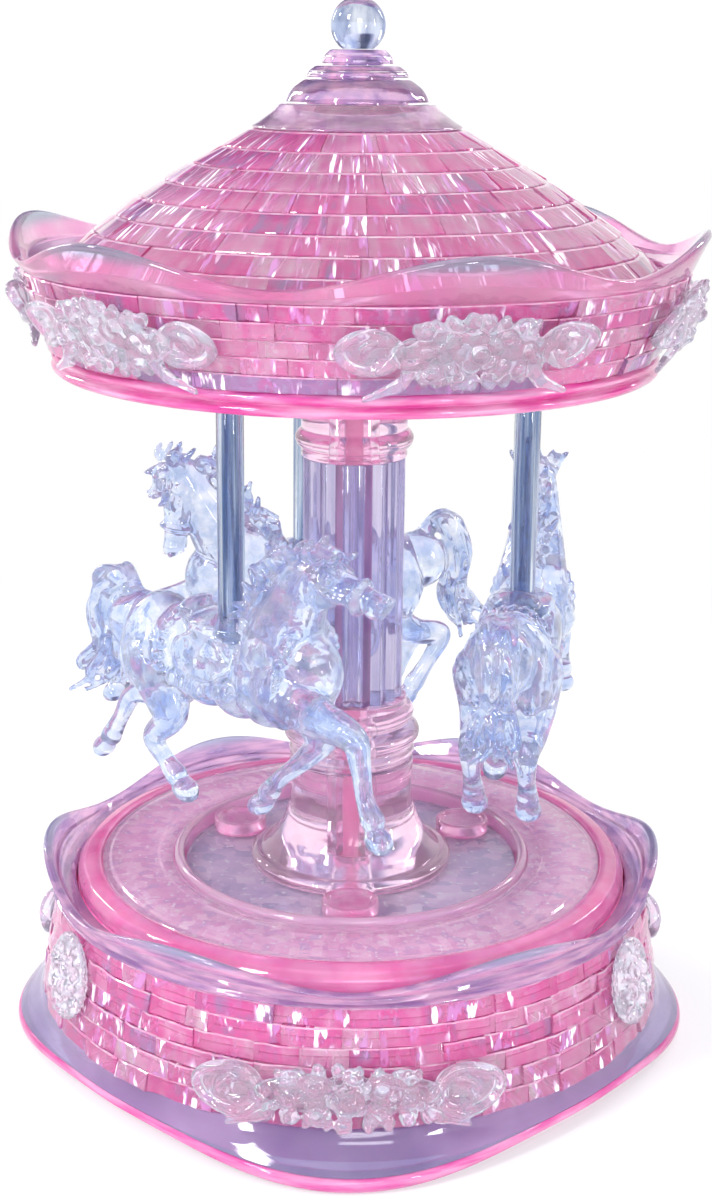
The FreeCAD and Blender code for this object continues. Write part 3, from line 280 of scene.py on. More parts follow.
def glassy(name, pale, deep, clearness, cloud, ripple, rough=POLISH, tip=None, drawn=(1, 1, 1)):
    """Polished transparent plastic. Its tint drifts in clouds and may turn to a tip colour between two
    heights, a painted shade on the tips of lobes; its faces have ripples of a width and a strength."""
    nodes = Nodes(bpy.data.materials.new(name))
    drift = speckle(nodes, cloud, stretch=drawn)
    tint = nodes.mixed(nodes.between(drift, *TINT_EDGES), pale, deep)
    # The tip colour is painted shade: lobe tips darkened to slate as they look when seen edge on.
    if tip:
        colour, low, high = tip
        height = nodes.add("SeparateXYZ", {0: nodes.place()}, "Z")
        tint = nodes.mixed(nodes.between(height, low * MM, high * MM), tint, colour)
    ripple_mm, strength = ripple
    return nodes.surface(nodes.add("BsdfPrincipled", {
        "Base Color": tint,
        "Roughness": rough + POLISH_DRIFT * drift,
        "IOR": PLASTIC_IOR, "Transmission Weight": clearness,
        "Normal": bumped(nodes, speckle(nodes, ripple_mm, detail=2), RIPPLE_DEPTH, strength)}))


def around(radius_mm, angle, height_mm):
    """A point at an angle from the front, counted towards the right."""
    return Vector((radius_mm * sin(angle), -radius_mm * cos(angle), height_mm)) * MM


MERGE = 0.001


def turned(outline, rounding=0.25, steps=144, rounds=3, foot=0):
    """Spins an outline of (radius, height above foot), which closes unless it ends on the axis."""
    bm = bmesh.new()
    spots = [bm.verts.new((0, -radius * MM, (foot + height) * MM)) for radius, height in outline]
    sides = list(zip(spots, spots[1:]))
    if outline[-1][0] > 0:
        sides.append((spots[-1], spots[0]))
    for side in sides:
        bm.edges.new(side)
    corners = [corner for corner in spots if corner.co.y < 0]
    ops.bevel(bm, geom=corners, affect="VERTICES", offset=rounding * MM, segments=rounds, profile=0.5,
              material=-1)
    ops.spin(bm, geom=bm.verts[:] + bm.edges[:], cent=(0, 0, 0), axis=(0, 0, 1), angle=2 * pi, steps=steps,
             use_merge=True)
    ops.remove_doubles(bm, verts=bm.verts, dist=MERGE * MM)
    ops.recalc_face_normals(bm, faces=bm.faces)
    return bm


def reshape(bm, rule):
    """Moves every point by a rule on its angle, radius and height in millimetres."""
    for vert in bm.verts:
        angle = atan2(vert.co.x, -vert.co.y)
        radius, height = rule(angle, vert.co.xy.length / MM, vert.co.z / MM)
        vert.co = around(radius, angle, height)


def piece(name, bm, material, body, slot, *nodes, crease=35, others=()):
    """A finished piece: smooth but for its sharp edges, and riding on its body."""
    thing = link_mesh(name, bm)
    thing.data.shade_smooth()
    thing.data.set_sharp_from_angle(angle=radians(crease))
    for finish in (material, *others):
        thing.data.materials.append(finish)
    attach(thing, body)
    if nodes:
        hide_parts(*nodes)


def lobes(count, phase, angle):
    """1 at the middle of a lobe and 0 in the dip between two lobes."""
    return 0.5 + 0.5 * cos(count * (angle - phase))


def heights(node):
    """The foot and the top of a CAD node in millimetres."""
    return [corner.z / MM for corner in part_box(node)]


HAIR = 0.04
FINE_TURN = 192
PLATE_TOP = heights("base_plate")[1]
SKIRT_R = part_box("base_skirt")[1].x / MM
SKIRT_FREE_R = 52
SKIRT_DIP_R = 52.8
SKIRT_LIFT = 2.5
SKIRT_LOBES, LOBE_POINT = 4, 1.3
LIP_H = 2.3
LEVEL = (0.12, 0.12, 1)


def skirt_rule(angle, radius, height):
    reach = lobes(SKIRT_LOBES, 0, angle) ** LOBE_POINT
    dip = (SKIRT_DIP_R - SKIRT_FREE_R) / (SKIRT_R - SKIRT_FREE_R)
    beyond = max(radius - SKIRT_FREE_R, 0)
    drop = (PLATE_TOP - height) * (1 - (1 - reach) * SKIRT_LIFT / PLATE_TOP)
    return min(radius, SKIRT_FREE_R) + beyond * (dip + (1 - dip) * reach), PLATE_TOP - drop


skirt_mauve = glassy(
    "skirt_mauve", (0.54, 0.46, 0.72), (0.38, 0.3, 0.56), 0.7, cloud=14, ripple=(9, 0.1), rough=0.06)
bm = turned(
    [(50.2, PLATE_TOP - HAIR), (52.9, PLATE_TOP - HAIR), (53.8, 6), (55.6, 4), (57.6, LIP_H + HAIR),
     (55.4, LIP_H + HAIR), (50.2, 5.4)], 0.5, FINE_TURN)
reshape(bm, skirt_rule)
piece("skirt_shell", bm, skirt_mauve, "base", "clear_lilac", "base_skirt")
lip_pink = glassy(
    "lip_pink", (1, 0.46, 0.74), (0.82, 0.1, 0.44), 0.55, cloud=1.4, ripple=(5, 0.12), drawn=LEVEL)
bm = turned(
    [(55.2, LIP_H - HAIR), (57.7, LIP_H - HAIR), (SKIRT_R, 1), (57.6, 0.02), (55.6, 0.02)], 0.5, FINE_TURN)
reshape(bm, skirt_rule)
piece("skirt_lip", bm, lip_pink, "base", "hot_pink")

# Brick courses of the base wall
# Clear pink bricks of uneven lengths, laid dry in rows round the cover. Each is a polished block with its
# own tint and slightly uneven faces, and stands a little proud of or behind its neighbours. Its top front
# edge is painted paler as a highlight, and painted white highlights and violet shade run up its face.
BRICK_GAP = 0.05
BRICK_EDGE = 0.2
BRICK_LENGTHS = (4, 13)
BRICK_SPLIT = 2
BRICK_FACET = 0.24
BRICK_STEP = 0.2
BACK, PAINTED_HIGHLIGHT_EDGE = 1, 2
CORNER_ANGLE, BEVEL_TILT, AT_BACK = 0.5, 0.3, 0.499
NO_RUN, NO_ANGLE = 0.1, 0.001


def add_copy(bm, part):
    mesh = as_mesh(part)
    bm.from_mesh(mesh)
    bpy.data.meshes.remove(mesh)


def run(edge):
    """How far an edge reaches along X."""
    return abs(edge.verts[0].co.x - edge.verts[1].co.x)


def brick(length, depth, height, cuts):
    """A polished block round the origin, cut across often enough to bend."""
    bm = bmesh.new()
    ops.create_cube(bm, size=1)
    ops.scale(bm, verts=bm.verts, vec=Vector((length, depth, height)) * MM)
    if cuts:
        along = [edge for edge in bm.edges if run(edge) > 0.5 * length * MM]
        ops.subdivide_edges(bm, edges=along, cuts=cuts, use_grid_fill=True)
    long_edges = [edge for edge in bm.edges
                  if edge.calc_face_angle(0) > CORNER_ANGLE and run(edge) > NO_RUN * MM]
    ops.bevel(bm, geom=long_edges, affect="EDGES", offset=BRICK_EDGE * MM, segments=1, profile=0.5,
              material=-1)
    bm.normal_update()
    return bm


def lay_row(wall, draw, inner, outer, foot, top, lengths=BRICK_LENGTHS, deepest=1):
    """One row of bricks. The wall's inner and outer radii are functions of the height."""
    around_r = outer((foot + top) / 2)
    angle = draw.uniform(0, pi)
    end = angle + 2 * pi
    while angle < end - NO_ANGLE:
        span = draw.uniform(*lengths) / around_r
        if end - angle - span < lengths[0] / around_r:
            span = end - angle
        length, depth = span * around_r - BRICK_GAP, outer(foot) - inner(foot)
        cuts = int(length / BRICK_SPLIT)
        block = brick(length, depth, top - foot - BRICK_GAP, cuts)
        tint = block.faces.layers.float.new("tint")
        backs = {face for face in block.faces if face.calc_center_median().y < -AT_BACK * depth * MM}
        # Faces along the top front edge, which take the paler finish that is a painted highlight.
        painted_highlight_edges = {face for face in block.faces if min(face.normal.y, face.normal.z) > BEVEL_TILT}
        middle, shade = angle + span / 2, draw.uniform(0, deepest)
        proud, lean, slew = (draw.uniform(-BRICK_STEP, BRICK_STEP) for _ in range(3))
        facets = [draw.uniform(-BRICK_FACET, BRICK_FACET) for _ in range(2 * cuts + 4)]
        for vert in block.verts:
            x, y, z = vert.co / MM
            height = (foot + top) / 2 + z
            across = y / depth + 0.5
            facet = facets[2 * round((x / length + 0.5) * cuts) + (z > 0)]
            wobble = proud + lean * z / (top - foot) + slew * x / length + facet
            radius = inner(height) + (outer(height) - inner(height)) * across + wobble * across
            vert.co = around(radius, middle + x / around_r, height)
        for face in block.faces:
            face[tint] = shade
            face.material_index = BACK if face in backs else PAINTED_HIGHLIGHT_EDGE if face in painted_highlight_edges else 0
        add_copy(wall, block)
        angle += span


def brick_wall(seed, inner, outer, foot, top, rows, footing=()):
    """Rows of bricks; a footing gives the lowest row its own lengths and depth of tint."""
    bm = bmesh.new()
    draw = random.Random(seed)
    rise = (top - foot) / rows
    for row in range(rows):
        own = footing if row == 0 else ()
        lay_row(bm, draw, inner, outer, foot + rise * row, foot + rise * (row + 1), *own)
    ops.recalc_face_normals(bm, faces=bm.faces)
    return bm


STROKE_R = 40
BRICK_STOPS = [
    (0.02, (1, 0.86, 0.94)), (0.22, (1, 0.58, 0.81)), (0.5, (1, 0.38, 0.7)), (0.75, (0.99, 0.2, 0.57)),
    (1, (0.58, 0.38, 0.68))]
BRICK_CLEARNESS = 0.74
CUT_ROUGH, CUT_DRIFT, STROKE_ROUGH, STROKE_DRIFT = 0.01, 0.04, 0.1, 0.1
PALEST, DEAL_SHARE, CLOUD_SHARE, STREAK_SHARE = 0.28, 0.55, 0.8, 1.1
PATCH_EDGES, LIGHT_EDGES, SHADE_EDGES = (0.45, 0.57), (0.56, 0.64), (0.55, 0.63)
PAINTED_GLINT_WHITE, PAINTED_SHADE_VIOLET = (1, 0.96, 0.99), (0.5, 0.22, 0.52)
LIGHT_SHARE, SHADE_SHARE, MOST_STROKE = 0.9, 0.6, 0.9


def strokes(nodes, deal, wide_mm, tall):
    """Noise drawn out into strokes that run up the wall, dealt anew for each brick."""
    spot = nodes.place()
    outward = nodes.vector("NORMALIZE", nodes.vector("MULTIPLY", spot, (1, 1, 0)))
    rise = nodes.vector("MULTIPLY", spot, (0, 0, 1 / tall))
    laid = nodes.vector("MULTIPLY_ADD", outward, (STROKE_R * MM, STROKE_R * MM, 0), rise)
    sockets = {"Vector": laid, "W": deal, "Scale": 1 / (wide_mm * MM), "Detail": 2}
    return nodes.add("TexNoise", sockets, noise_dimensions="4D")


def brick_front():
    """Polished clear pink, near white to deep pink and violet from brick to brick, with painted white
    highlight strokes and painted violet shade strokes that stand in for the light the cut faces throw
    about."""
    nodes = Nodes(bpy.data.materials.new("brick_pink"))
    deal = nodes.add("Attribute", out="Fac", attribute_name="tint")
    cloud = speckle(nodes, grain_mm=3)
    patch = nodes.between(strokes(nodes, deal, wide_mm=5, tall=2), *PATCH_EDGES)
    # The white strokes are painted highlights and the violet strokes are painted shade.
    light = nodes.between(strokes(nodes, deal, wide_mm=1, tall=4), *LIGHT_EDGES) * patch
    shade = nodes.between(strokes(nodes, 1 - deal, wide_mm=1.3, tall=3), *SHADE_EDGES) * patch
    streak = 0.5 - strokes(nodes, deal, wide_mm=1.6, tall=5)
    depth = PALEST + DEAL_SHARE * deal + CLOUD_SHARE * (cloud - 0.5) + STREAK_SHARE * streak
    clear = nodes.add("BsdfPrincipled", {
        "Base Color": nodes.add("ValToRGB", {0: depth}, stops=BRICK_STOPS),
        "Roughness": CUT_ROUGH + CUT_DRIFT * cloud, "IOR": PLASTIC_IOR,
        "Transmission Weight": BRICK_CLEARNESS})
    painted_light_and_shade = nodes.add("BsdfPrincipled", {
        "Base Color": nodes.mixed(light, PAINTED_SHADE_VIOLET, PAINTED_GLINT_WHITE),
        "Roughness": STROKE_ROUGH + STROKE_DRIFT * cloud})
    share = (LIGHT_SHARE * light + SHADE_SHARE * shade).capped(MOST_STROKE)
    return nodes.surface(nodes.add("MixShader", {0: share, 1: clear, 2: painted_light_and_shade}))


CELL_SQUASH = (1, 1, 1.6)
# The sparks are painted glints: white specks mixed into the base colour.
SPARK_EDGES = (0.61, 0.67)
PAINTED_SPARKLE = (1, 0.97, 0.99)
CELL_SHARE, BLUR_SHARE, BLUR_CELLS, SPARK_CELLS = 0.7, 0.6, 1.1, 0.5
BACK_ROUGH, BACK_DRIFT = 0.45, 0.2


def blotched(name, cell_mm, stops):
    """The unpolished back of a clear piece, blotched where the layers behind it show through, with white
    sparks that are painted glints.
    """
    nodes = Nodes(bpy.data.materials.new(name))
    laid = nodes.add("Mapping", {"Vector": nodes.place(), "Scale": CELL_SQUASH})
    sockets = {"Vector": laid, "Scale": 1 / (cell_mm * MM)}
    cells = nodes.add("TexVoronoi", sockets, "Color", distance="CHEBYCHEV")
    patch = nodes.add("SeparateXYZ", {0: cells})
    depth = CELL_SHARE * patch + BLUR_SHARE * (speckle(nodes, cell_mm * BLUR_CELLS) - 0.25)
    shade = nodes.add("ValToRGB", {0: depth}, stops=stops)
    painted_sparkle = nodes.between(speckle(nodes, cell_mm * SPARK_CELLS), *SPARK_EDGES)
    return nodes.surface(nodes.add("BsdfPrincipled", {
        "Base Color": nodes.mixed(painted_sparkle, shade, PAINTED_SPARKLE), "Roughness": BACK_ROUGH + BACK_DRIFT * patch}))


brick_pink = brick_front()
brick_rear = blotched("brick_rear", 2.2, [
    (0, (1, 0.97, 0.99)), (0.2, (1, 0.8, 0.91)), (0.5, (1, 0.56, 0.79)),
    (0.8, (1, 0.36, 0.67)), (0.97, (0.6, 0.3, 0.66))])
# The top front edges of the bricks get a paler finish: a painted highlight where light from above falls.
brick_edge_painted_highlight = glassy("brick_edge_painted_highlight", (1, 0.76, 0.9), (1, 0.4, 0.7), 0.5, cloud=1.6, ripple=(3, 0))
BRICK_LOOK = {"crease": 20, "others": (brick_rear, brick_edge_painted_highlight)}
BASE_TOP = heights("base_course_4")[1]
BASE_IN_R, BASE_ROWS = 47.2, 6


def leaning(foot, top, foot_r, top_r):
    """The radius of a wall that leans evenly, as a function of the height."""
    return lambda height: foot_r + (top_r - foot_r) * (height - foot) / (top - foot)


base_wall_r = leaning(PLATE_TOP, BASE_TOP, foot_r=53, top_r=50)
bm = brick_wall(11, lambda height: BASE_IN_R, base_wall_r, PLATE_TOP + HAIR, BASE_TOP - HAIR, BASE_ROWS)
piece(
    "base_bricks", bm, brick_pink, "base", "brick_pink", "base_course_1", "base_course_2",
    "base_course_3", "base_course_4", **BRICK_LOOK)

# Lobed collar
# A clear lilac moulding with level ridges that stands on the wall and hides the edge of the deck. Its top
# edge swells into six lobes over the spaces between the ornaments, their tips tinted slate as painted
# shade.
LOBED_TURN = 240
RING_LOBES = 6
COLLAR_PHASE = radians(30)
collar_lilac = glassy(
    "collar_lilac", (0.98, 0.62, 0.84), (0.42, 0.28, 0.56), 0.66, cloud=0.9, ripple=(4, 0.15), rough=0.02,
    drawn=LEVEL, tip=((0.46, 0.52, 0.7), BASE_TOP + 4.8, BASE_TOP + 6.9))


def lobed_edge(foot, phase, lobe_h, dip_h, lobe_r, dip_r):
    """The rule that raises and flares the top edge of a ring into six lobes."""

    def rule(angle, radius, height):
        reach = lobes(RING_LOBES, phase, angle)
        rise = dip_h + (lobe_h - dip_h) * reach
        up = (height - foot) / lobe_h
        lean = (lobe_r - dip_r) * (1 - reach) * min(max(up, 0), 1)
        return radius - lean, foot + up * rise

    return rule


bm = turned(
    [(46.9, HAIR), (50.4, HAIR), (51.1, 0.8), (50.3, 1.6), (51.3, 2.4), (50.9, 3.6), (51.5, 4.6),
     (52.5, 6.2), (52, 7), (50.9, 6.5), (49.6, 3.6), (46.9, 1.8)], 0.4, LOBED_TURN, foot=BASE_TOP)
reshape(bm, lobed_edge(BASE_TOP, COLLAR_PHASE, lobe_h=7, dip_h=2.6, lobe_r=52.5, dip_r=51))
piece("collar", bm, collar_lilac, "base", "clear_lilac", "base_collar")

# Deck
# A rounded deep pink ring, a pale plate and the round lip of the well with its clear floor and three studs,
# all lying on the movement cover. Plate and floor are clear, with a dimpled and tinted underside.
DECK_FOOT, DECK_TOP = heights("deck_plate")
DECK_LOW = DECK_FOOT + HAIR
WELL_TOP = heights("well_floor")[1]
deck_pink = glassy("deck_pink", (1, 0.46, 0.74), (0.96, 0.26, 0.6), 0.65, cloud=6, ripple=(4, 0.15))
bm = turned(
    [(42.5, DECK_LOW), (46.5, DECK_LOW), (46.5, 28.8), (45.4, 30), (43.6, 30.45), (42.5, 30.3)],
    0.3, FINE_TURN)
piece("deck_ring_moulding", bm, deck_pink, "base", "hot_pink", "deck_ring")
deck_lilac = glassy(
    "deck_lilac", (1, 0.92, 0.97), (0.96, 0.78, 0.92), 0.88, cloud=5, ripple=(3, 0.12))
deck_rear = blotched("deck_rear", 1.7, [
    (0, (1, 0.96, 0.98)), (0.16, (1, 0.72, 0.87)), (0.4, (0.94, 0.56, 0.79)),
    (0.7, (0.88, 0.44, 0.72)), (1, (0.62, 0.44, 0.72))])
DIMPLE_DEPTH, DIMPLE_WIDE = 0.5, 1.5
UNDERSIDE = 0.1


def under_ring(inner, outer, rings, height):
    """Points along the flat underside of a ring."""
    return [(inner + (outer - inner) * k / rings, height) for k in range(rings + 1)]


def dimple(bm, height):
    """Presses dimples into a plate's underside and gives it its own finish."""
    for vert in bm.verts:
        if vert.co.z < (height + UNDERSIDE) * MM:
            vert.co.z += DIMPLE_DEPTH * MM * abs(noise.noise(vert.co / (DIMPLE_WIDE * MM)))
    for face in bm.faces:
        highest = max(vert.co.z for vert in face.verts)
        face.material_index = BACK if highest < (height + DIMPLE_DEPTH) * MM else 0


RING_BEAD = 0.35
bm = turned(
    under_ring(30.4, 42.3, 12, DECK_LOW)
    + [(42.3, DECK_TOP - RING_BEAD), (41.2, DECK_TOP - RING_BEAD), (40.8, DECK_TOP)]
    + [(33, DECK_TOP), (32.6, DECK_TOP - RING_BEAD), (30.4, DECK_TOP - RING_BEAD)], 0.12, LOBED_TURN, 1)
dimple(bm, DECK_LOW)
piece("deck_board", bm, deck_lilac, "base", "pale_pink", "deck_plate", others=(deck_rear,))
lip_pale = glassy("lip_pale", (1, 0.74, 0.9), (0.94, 0.6, 0.84), 0.7, cloud=6, ripple=(4, 0.1))
bm = turned(
    [(28.5, DECK_LOW), (30.2, DECK_LOW), (30.2, 30.6), (29.4, 31.2), (28.5, 30.6)], 0.35, FINE_TURN)
piece("well_ring", bm, lip_pale, "base", "pale_pink", "well_lip")
floor_lilac = glassy(
    "floor_lilac", (0.96, 0.92, 0.98), (0.86, 0.8, 0.92), 0.88, cloud=8, ripple=(3, 0.1))
well_rear = blotched("well_rear", 2.6, [
    (0, (1, 0.94, 0.98)), (0.25, (0.92, 0.72, 0.88)), (0.55, (0.78, 0.6, 0.8)),
    (0.9, (0.56, 0.48, 0.68))])
WELL_R, WELL_BORE_R = 28.2, 2.7
bm = turned(
    under_ring(WELL_BORE_R, WELL_R, 16, DECK_LOW)
    + [(WELL_R, WELL_TOP - HAIR), (WELL_BORE_R, WELL_TOP - HAIR)], 0.12, FINE_TURN, 1)
dimple(bm, DECK_LOW)
piece("well_pan", bm, floor_lilac, "base", "clear_lilac", "well_floor", others=(well_rear,))
STUDS, STUD_CIRCLE = 3, 22.7
STUD_R, STUD_H, STUD_DISH = 4.6, 2.4, 0.5
stud_pink = glassy(
    "stud_pink", (1, 0.66, 0.84), (0.96, 0.42, 0.7), 0.75, cloud=2, ripple=(1.5, 0.3))
studs = bmesh.new()
for k in range(STUDS):
    bm = turned([(0, HAIR), (STUD_R, HAIR), (STUD_R, STUD_H), (STUD_R - 0.9, STUD_H),
                 (STUD_R - 1.2, STUD_H - STUD_DISH), (0, STUD_H - STUD_DISH)], 0.3, 64, foot=WELL_TOP)
    ops.translate(bm, verts=bm.verts, vec=around(STUD_CIRCLE, k * 2 * pi / STUDS, 0))
    add_copy(studs, bm)
piece("stud_set", studs, stud_pink, "base", "pale_pink", "well_studs")

# Column
# A bell shaped pedestal, turned mouldings, a fluted lilac shaft and a capital, all moulded clear and
# pressed together on the well floor. The pink drive shaft runs up inside them.
BORE_R = 2.75
FOOT_TOP = heights("pedestal_foot")[1]
SHAFT_FOOT, SHAFT_TOP = heights("column_shaft")
capital_h = heights("column_capital")[1] - SHAFT_TOP
UPRIGHT = (1, 1, 0.03)
column_pink = glassy(
    "column_pink", (1, 0.8, 0.92), (0.98, 0.64, 0.84), 0.9, cloud=6, ripple=(5, 0.12))
column_lilac = glassy(
    "column_lilac", (0.8, 0.74, 0.92), (0.4, 0.36, 0.6), 0.88, cloud=1.4, ripple=(6, 0.1),
    drawn=UPRIGHT)


def bowed(start, end, bulge, steps=8):
    """Points of a curve between two corners, swelled sideways by a bulge."""
    way = Vector(end) - Vector(start)
    side = Vector((way.y, -way.x)).normalized() * bulge
    shares = [k / steps for k in range(steps)]
    return [tuple(Vector(start) + way * share + side * 4 * share * (1 - share)) for share in shares]


bell_h = FOOT_TOP - WELL_TOP
bm = turned(
    [(BORE_R, HAIR), (17, HAIR), (17, 1.5), (16, 2.1)]
    + bowed((15.2, 2.2), (10.4, bell_h - 2), -2)
    + [(10.4, bell_h - 2), (10.4, bell_h - HAIR), (BORE_R, bell_h - HAIR)], 0.3, foot=WELL_TOP)
piece("pedestal_bell", bm, column_pink, "base", "pale_pink", "pedestal_foot")
ridge = (SHAFT_FOOT - FOOT_TOP) / 4
bm = turned(
    [(BORE_R, HAIR)] + bowed((9.6, HAIR), (9.6, ridge), 1)
    + bowed((9.9, ridge), (9.9, ridge * 2.4), 1.5) + bowed((9.5, ridge * 2.4), (9.5, ridge * 3.5), 0.9)
    + [(9.1, ridge * 3.5), (9.1, ridge * 4 - HAIR), (BORE_R, ridge * 4 - HAIR)], 0.15, foot=FOOT_TOP)
piece("pedestal_rings", bm, column_pink, "base", "pale_pink", "pedestal_mouldings")
FLUTES, FLUTE_STEPS = 16, 12
FLUTE_DEPTH, FLUTE_ROUND = 0.7, 0.7
SHAFT_R = 8.4
bm = turned(
    [(BORE_R, SHAFT_FOOT + HAIR), (SHAFT_R, SHAFT_FOOT + HAIR), (SHAFT_R, SHAFT_TOP - HAIR),
     (BORE_R, SHAFT_TOP - HAIR)], 0.15, FLUTES * FLUTE_STEPS)
reshape(bm, lambda angle, radius, height: (
    radius - FLUTE_DEPTH * (1 - abs(sin(angle * FLUTES / 2))) ** FLUTE_ROUND * (radius > BORE_R + 1),
    height))
piece("fluted_shaft", bm, column_lilac, "base", "clear_lilac", "column_shaft", crease=50)
bm = turned(
    [(BORE_R, HAIR), (8.6, HAIR), (8.6, 1.5)] + bowed((8.8, 1.5), (8.8, 4.5), 0.8)
    + [(8.6, 4.6), (8.6, 9.5), (7.4, 9.6), (7.4, capital_h - HAIR), (BORE_R, capital_h - HAIR)], 0.2,
    foot=SHAFT_TOP)
piece("capital", bm, column_pink, "base", "clear_lilac", "column_capital")
shaft_pink = matt_plastic("shaft_pink", (0.98, 0.42, 0.68), (0.94, 0.3, 0.58), grain_mm=1, rough=0.25)
bush_pink = matt_plastic("bush_pink", (0.94, 0.56, 0.76), (0.9, 0.46, 0.7), grain_mm=1, rough=0.3)
dress("drive_shaft", shaft_pink)
dress("top_bush", bush_pink)

# Canopy
# A hub on the drive shaft carries the ceiling plate. A deep pink rim with two ridges hangs below it, and
# rows of clear pink bricks lean outwards above it to a lobed crown. The lowest row is long violet blocks.
RIM_FOOT, RIM_TOP = heights("canopy_rim")
CROWN_FOOT = heights("canopy_crown")[0]
CANOPY_IN_R, CANOPY_ROWS = 46.1, 5
LONG_BLOCKS, VIOLET_DEPTH = (9, 24), 1.9
ceiling_pink = matt_plastic("ceiling_pink", (1, 0.48, 0.74), (0.95, 0.3, 0.6), grain_mm=0.8, rough=0.4)
for node in ("canopy_hub", "canopy_ceiling"):
    dress(node, ceiling_pink)
rim_pink = glassy(
    "rim_pink", (1, 0.56, 0.8), (0.86, 0.08, 0.42), 0.6, cloud=1.4, ripple=(6, 0.2), drawn=LEVEL)
RIM_R, RIM_IN_R, RIM_SWELL = 47.3, 43.7, 0.7
rim_mid = RIM_FOOT + (RIM_TOP - RIM_FOOT) / 2
bm = turned(
    [(RIM_IN_R, RIM_FOOT)] + bowed((RIM_R, RIM_FOOT), (RIM_R, rim_mid), RIM_SWELL)
    + bowed((RIM_R, rim_mid), (RIM_R, RIM_TOP - HAIR), RIM_SWELL)
    + [(RIM_R, RIM_TOP - HAIR), (RIM_IN_R, RIM_TOP - HAIR)], 0.12, FINE_TURN)
piece("rim_moulding", bm, rim_pink, "rotor", "hot_pink", "canopy_rim")
canopy_wall_r = leaning(RIM_TOP, CROWN_FOOT, foot_r=48.2, top_r=52.4)
bm = brick_wall(
    23, lambda height: CANOPY_IN_R, canopy_wall_r, RIM_TOP
    + HAIR, CROWN_FOOT - HAIR, CANOPY_ROWS, (LONG_BLOCKS, VIOLET_DEPTH))
piece(
    "canopy_bricks", bm, brick_pink, "rotor", "brick_pink", "canopy_course_1", "canopy_course_2",
    "canopy_course_3", **BRICK_LOOK)

# Crown
# A clear pink ring that stands round the eaves, moulded in one piece. Its edge rises and flares into six
# lobes whose tips are tinted slate as painted shade.
CROWN_PHASE = radians(18)
crown_pink = glassy(
    "crown_pink", (1, 0.62, 0.83), (1, 0.4, 0.72), 0.82, cloud=9, ripple=(5, 0.12), rough=0.02,
    tip=((0.44, 0.53, 0.63), CROWN_FOOT + 3.4, CROWN_FOOT + 5.8))
bm = turned(
    [(47.7, HAIR), (52.3, HAIR), (53.2, 2.2), (55, 5.9), (54.5, 6.8), (53.4, 6.2), (51.6, 2.6),
     (47.7, 0.8)], 0.45, LOBED_TURN, foot=CROWN_FOOT)
reshape(bm, lobed_edge(CROWN_FOOT, CROWN_PHASE, lobe_h=6.8, dip_h=2, lobe_r=55, dip_r=53.2))
piece("crown", bm, crown_pink, "rotor", "hot_pink", "canopy_crown")

# Roof
# Rows of clear pink bricks that step in faster towards the top, a smooth clear neck, three cap tiers
# and a ball finial, stacked and pressed together.
EAVE_R, ROOF_STEP, ROOF_GROWTH, ROOF_COURSE_H = 47.4, 4.77, 0.285, 4.12
ROOF_TOP, NECK_TOP = heights("roof_neck")
ROOF_WALL = 7
ROOF_ROWS = 8


def roof_r(height):
    course = (height - CROWN_FOOT) / ROOF_COURSE_H
    return EAVE_R - ROOF_STEP * course - ROOF_GROWTH * course * course


bm = brick_wall(
    37, lambda height: roof_r(height) - ROOF_WALL, roof_r, CROWN_FOOT + HAIR, ROOF_TOP - HAIR, ROOF_ROWS)
piece(
    "roof_bricks", bm, brick_pink, "rotor", "brick_pink", *(f"roof_course_{k + 1}" for k in range(5)),
    **BRICK_LOOK)
neck_pink = glassy(
    "neck_pink", (1, 0.78, 0.91), (0.7, 0.4, 0.68), 0.85, cloud=2, ripple=(4, 0.15), drawn=(1, 1, 0.4))
NECK_FOOT_R, NECK_TOP_R, NECK_BORE_R = 16.3, 12, 7.4
bm = turned(
    [(NECK_BORE_R, ROOF_TOP + HAIR), (NECK_FOOT_R, ROOF_TOP + HAIR)]
    + bowed((NECK_FOOT_R, ROOF_TOP + 0.4), (NECK_TOP_R, NECK_TOP - 0.3), -0.1, 5)
    + [(NECK_TOP_R, NECK_TOP - HAIR), (NECK_BORE_R, NECK_TOP - HAIR)], 0.2)
piece("neck_band", bm, neck_pink, "rotor", "pale_pink", "roof_neck")
cap_pink = glassy(
    "cap_pink", (1, 0.62, 0.84), (0.44, 0.3, 0.62), 0.88, cloud=2.2, ripple=(4, 0.12),
    drawn=(1, 1, 0.5))
CAP_FLUTES, CAP_STEPS = 12, 8
CAP_FLUTE, CAP_EDGE, FLUTED_FROM = 0.02, 0.3, 0.6
for node, foot_r, top_r, bulge in (("cap_lower", 11.2, 8.5, 0.5), ("cap_middle", 8, 6.8, 0.3),
                                   ("cap_upper", 5.6, 4.5, 0.3)):
    foot, top = heights(node)
    bm = turned([(0, foot + HAIR), (foot_r, foot + HAIR)]
                + bowed((foot_r, foot + CAP_EDGE), (top_r, top - CAP_EDGE), bulge, 5)
                + [(top_r - 0.2, top - HAIR), (0, top - HAIR)], 0.25, CAP_FLUTES * CAP_STEPS)
    reshape(bm, lambda angle, radius, height: (
        radius - radius * CAP_FLUTE * lobes(CAP_FLUTES, 0, angle) * (radius > FLUTED_FROM * top_r), height))
    piece(node + "_tier", bm, cap_pink, "rotor", "pale_pink", node)
crystal = glassy(
    "crystal", (0.9, 0.94, 1), (0.16, 0.22, 0.44), 0.95, cloud=1.8, ripple=(2.5, 0.1), rough=0.015,
    drawn=(1, 1, 0.2))
foot, top = heights("finial")
BALL_R, BALL_STEP, BALL_POINTS, STEM_R = 4.25, 5, 29, 2.4
sphere = [(BALL_R * sin(turn), top - BALL_R + BALL_R * cos(turn))
          for turn in (radians(BALL_STEP * k) for k in range(BALL_POINTS))]
bm = turned([(0, foot + HAIR), (STEM_R, foot + HAIR)] + sphere[::-1][1:-1] + [(0, top)], 0.02, 96, 1)
piece("ball_finial", bm, crystal, "rotor", "crystal", "finial")

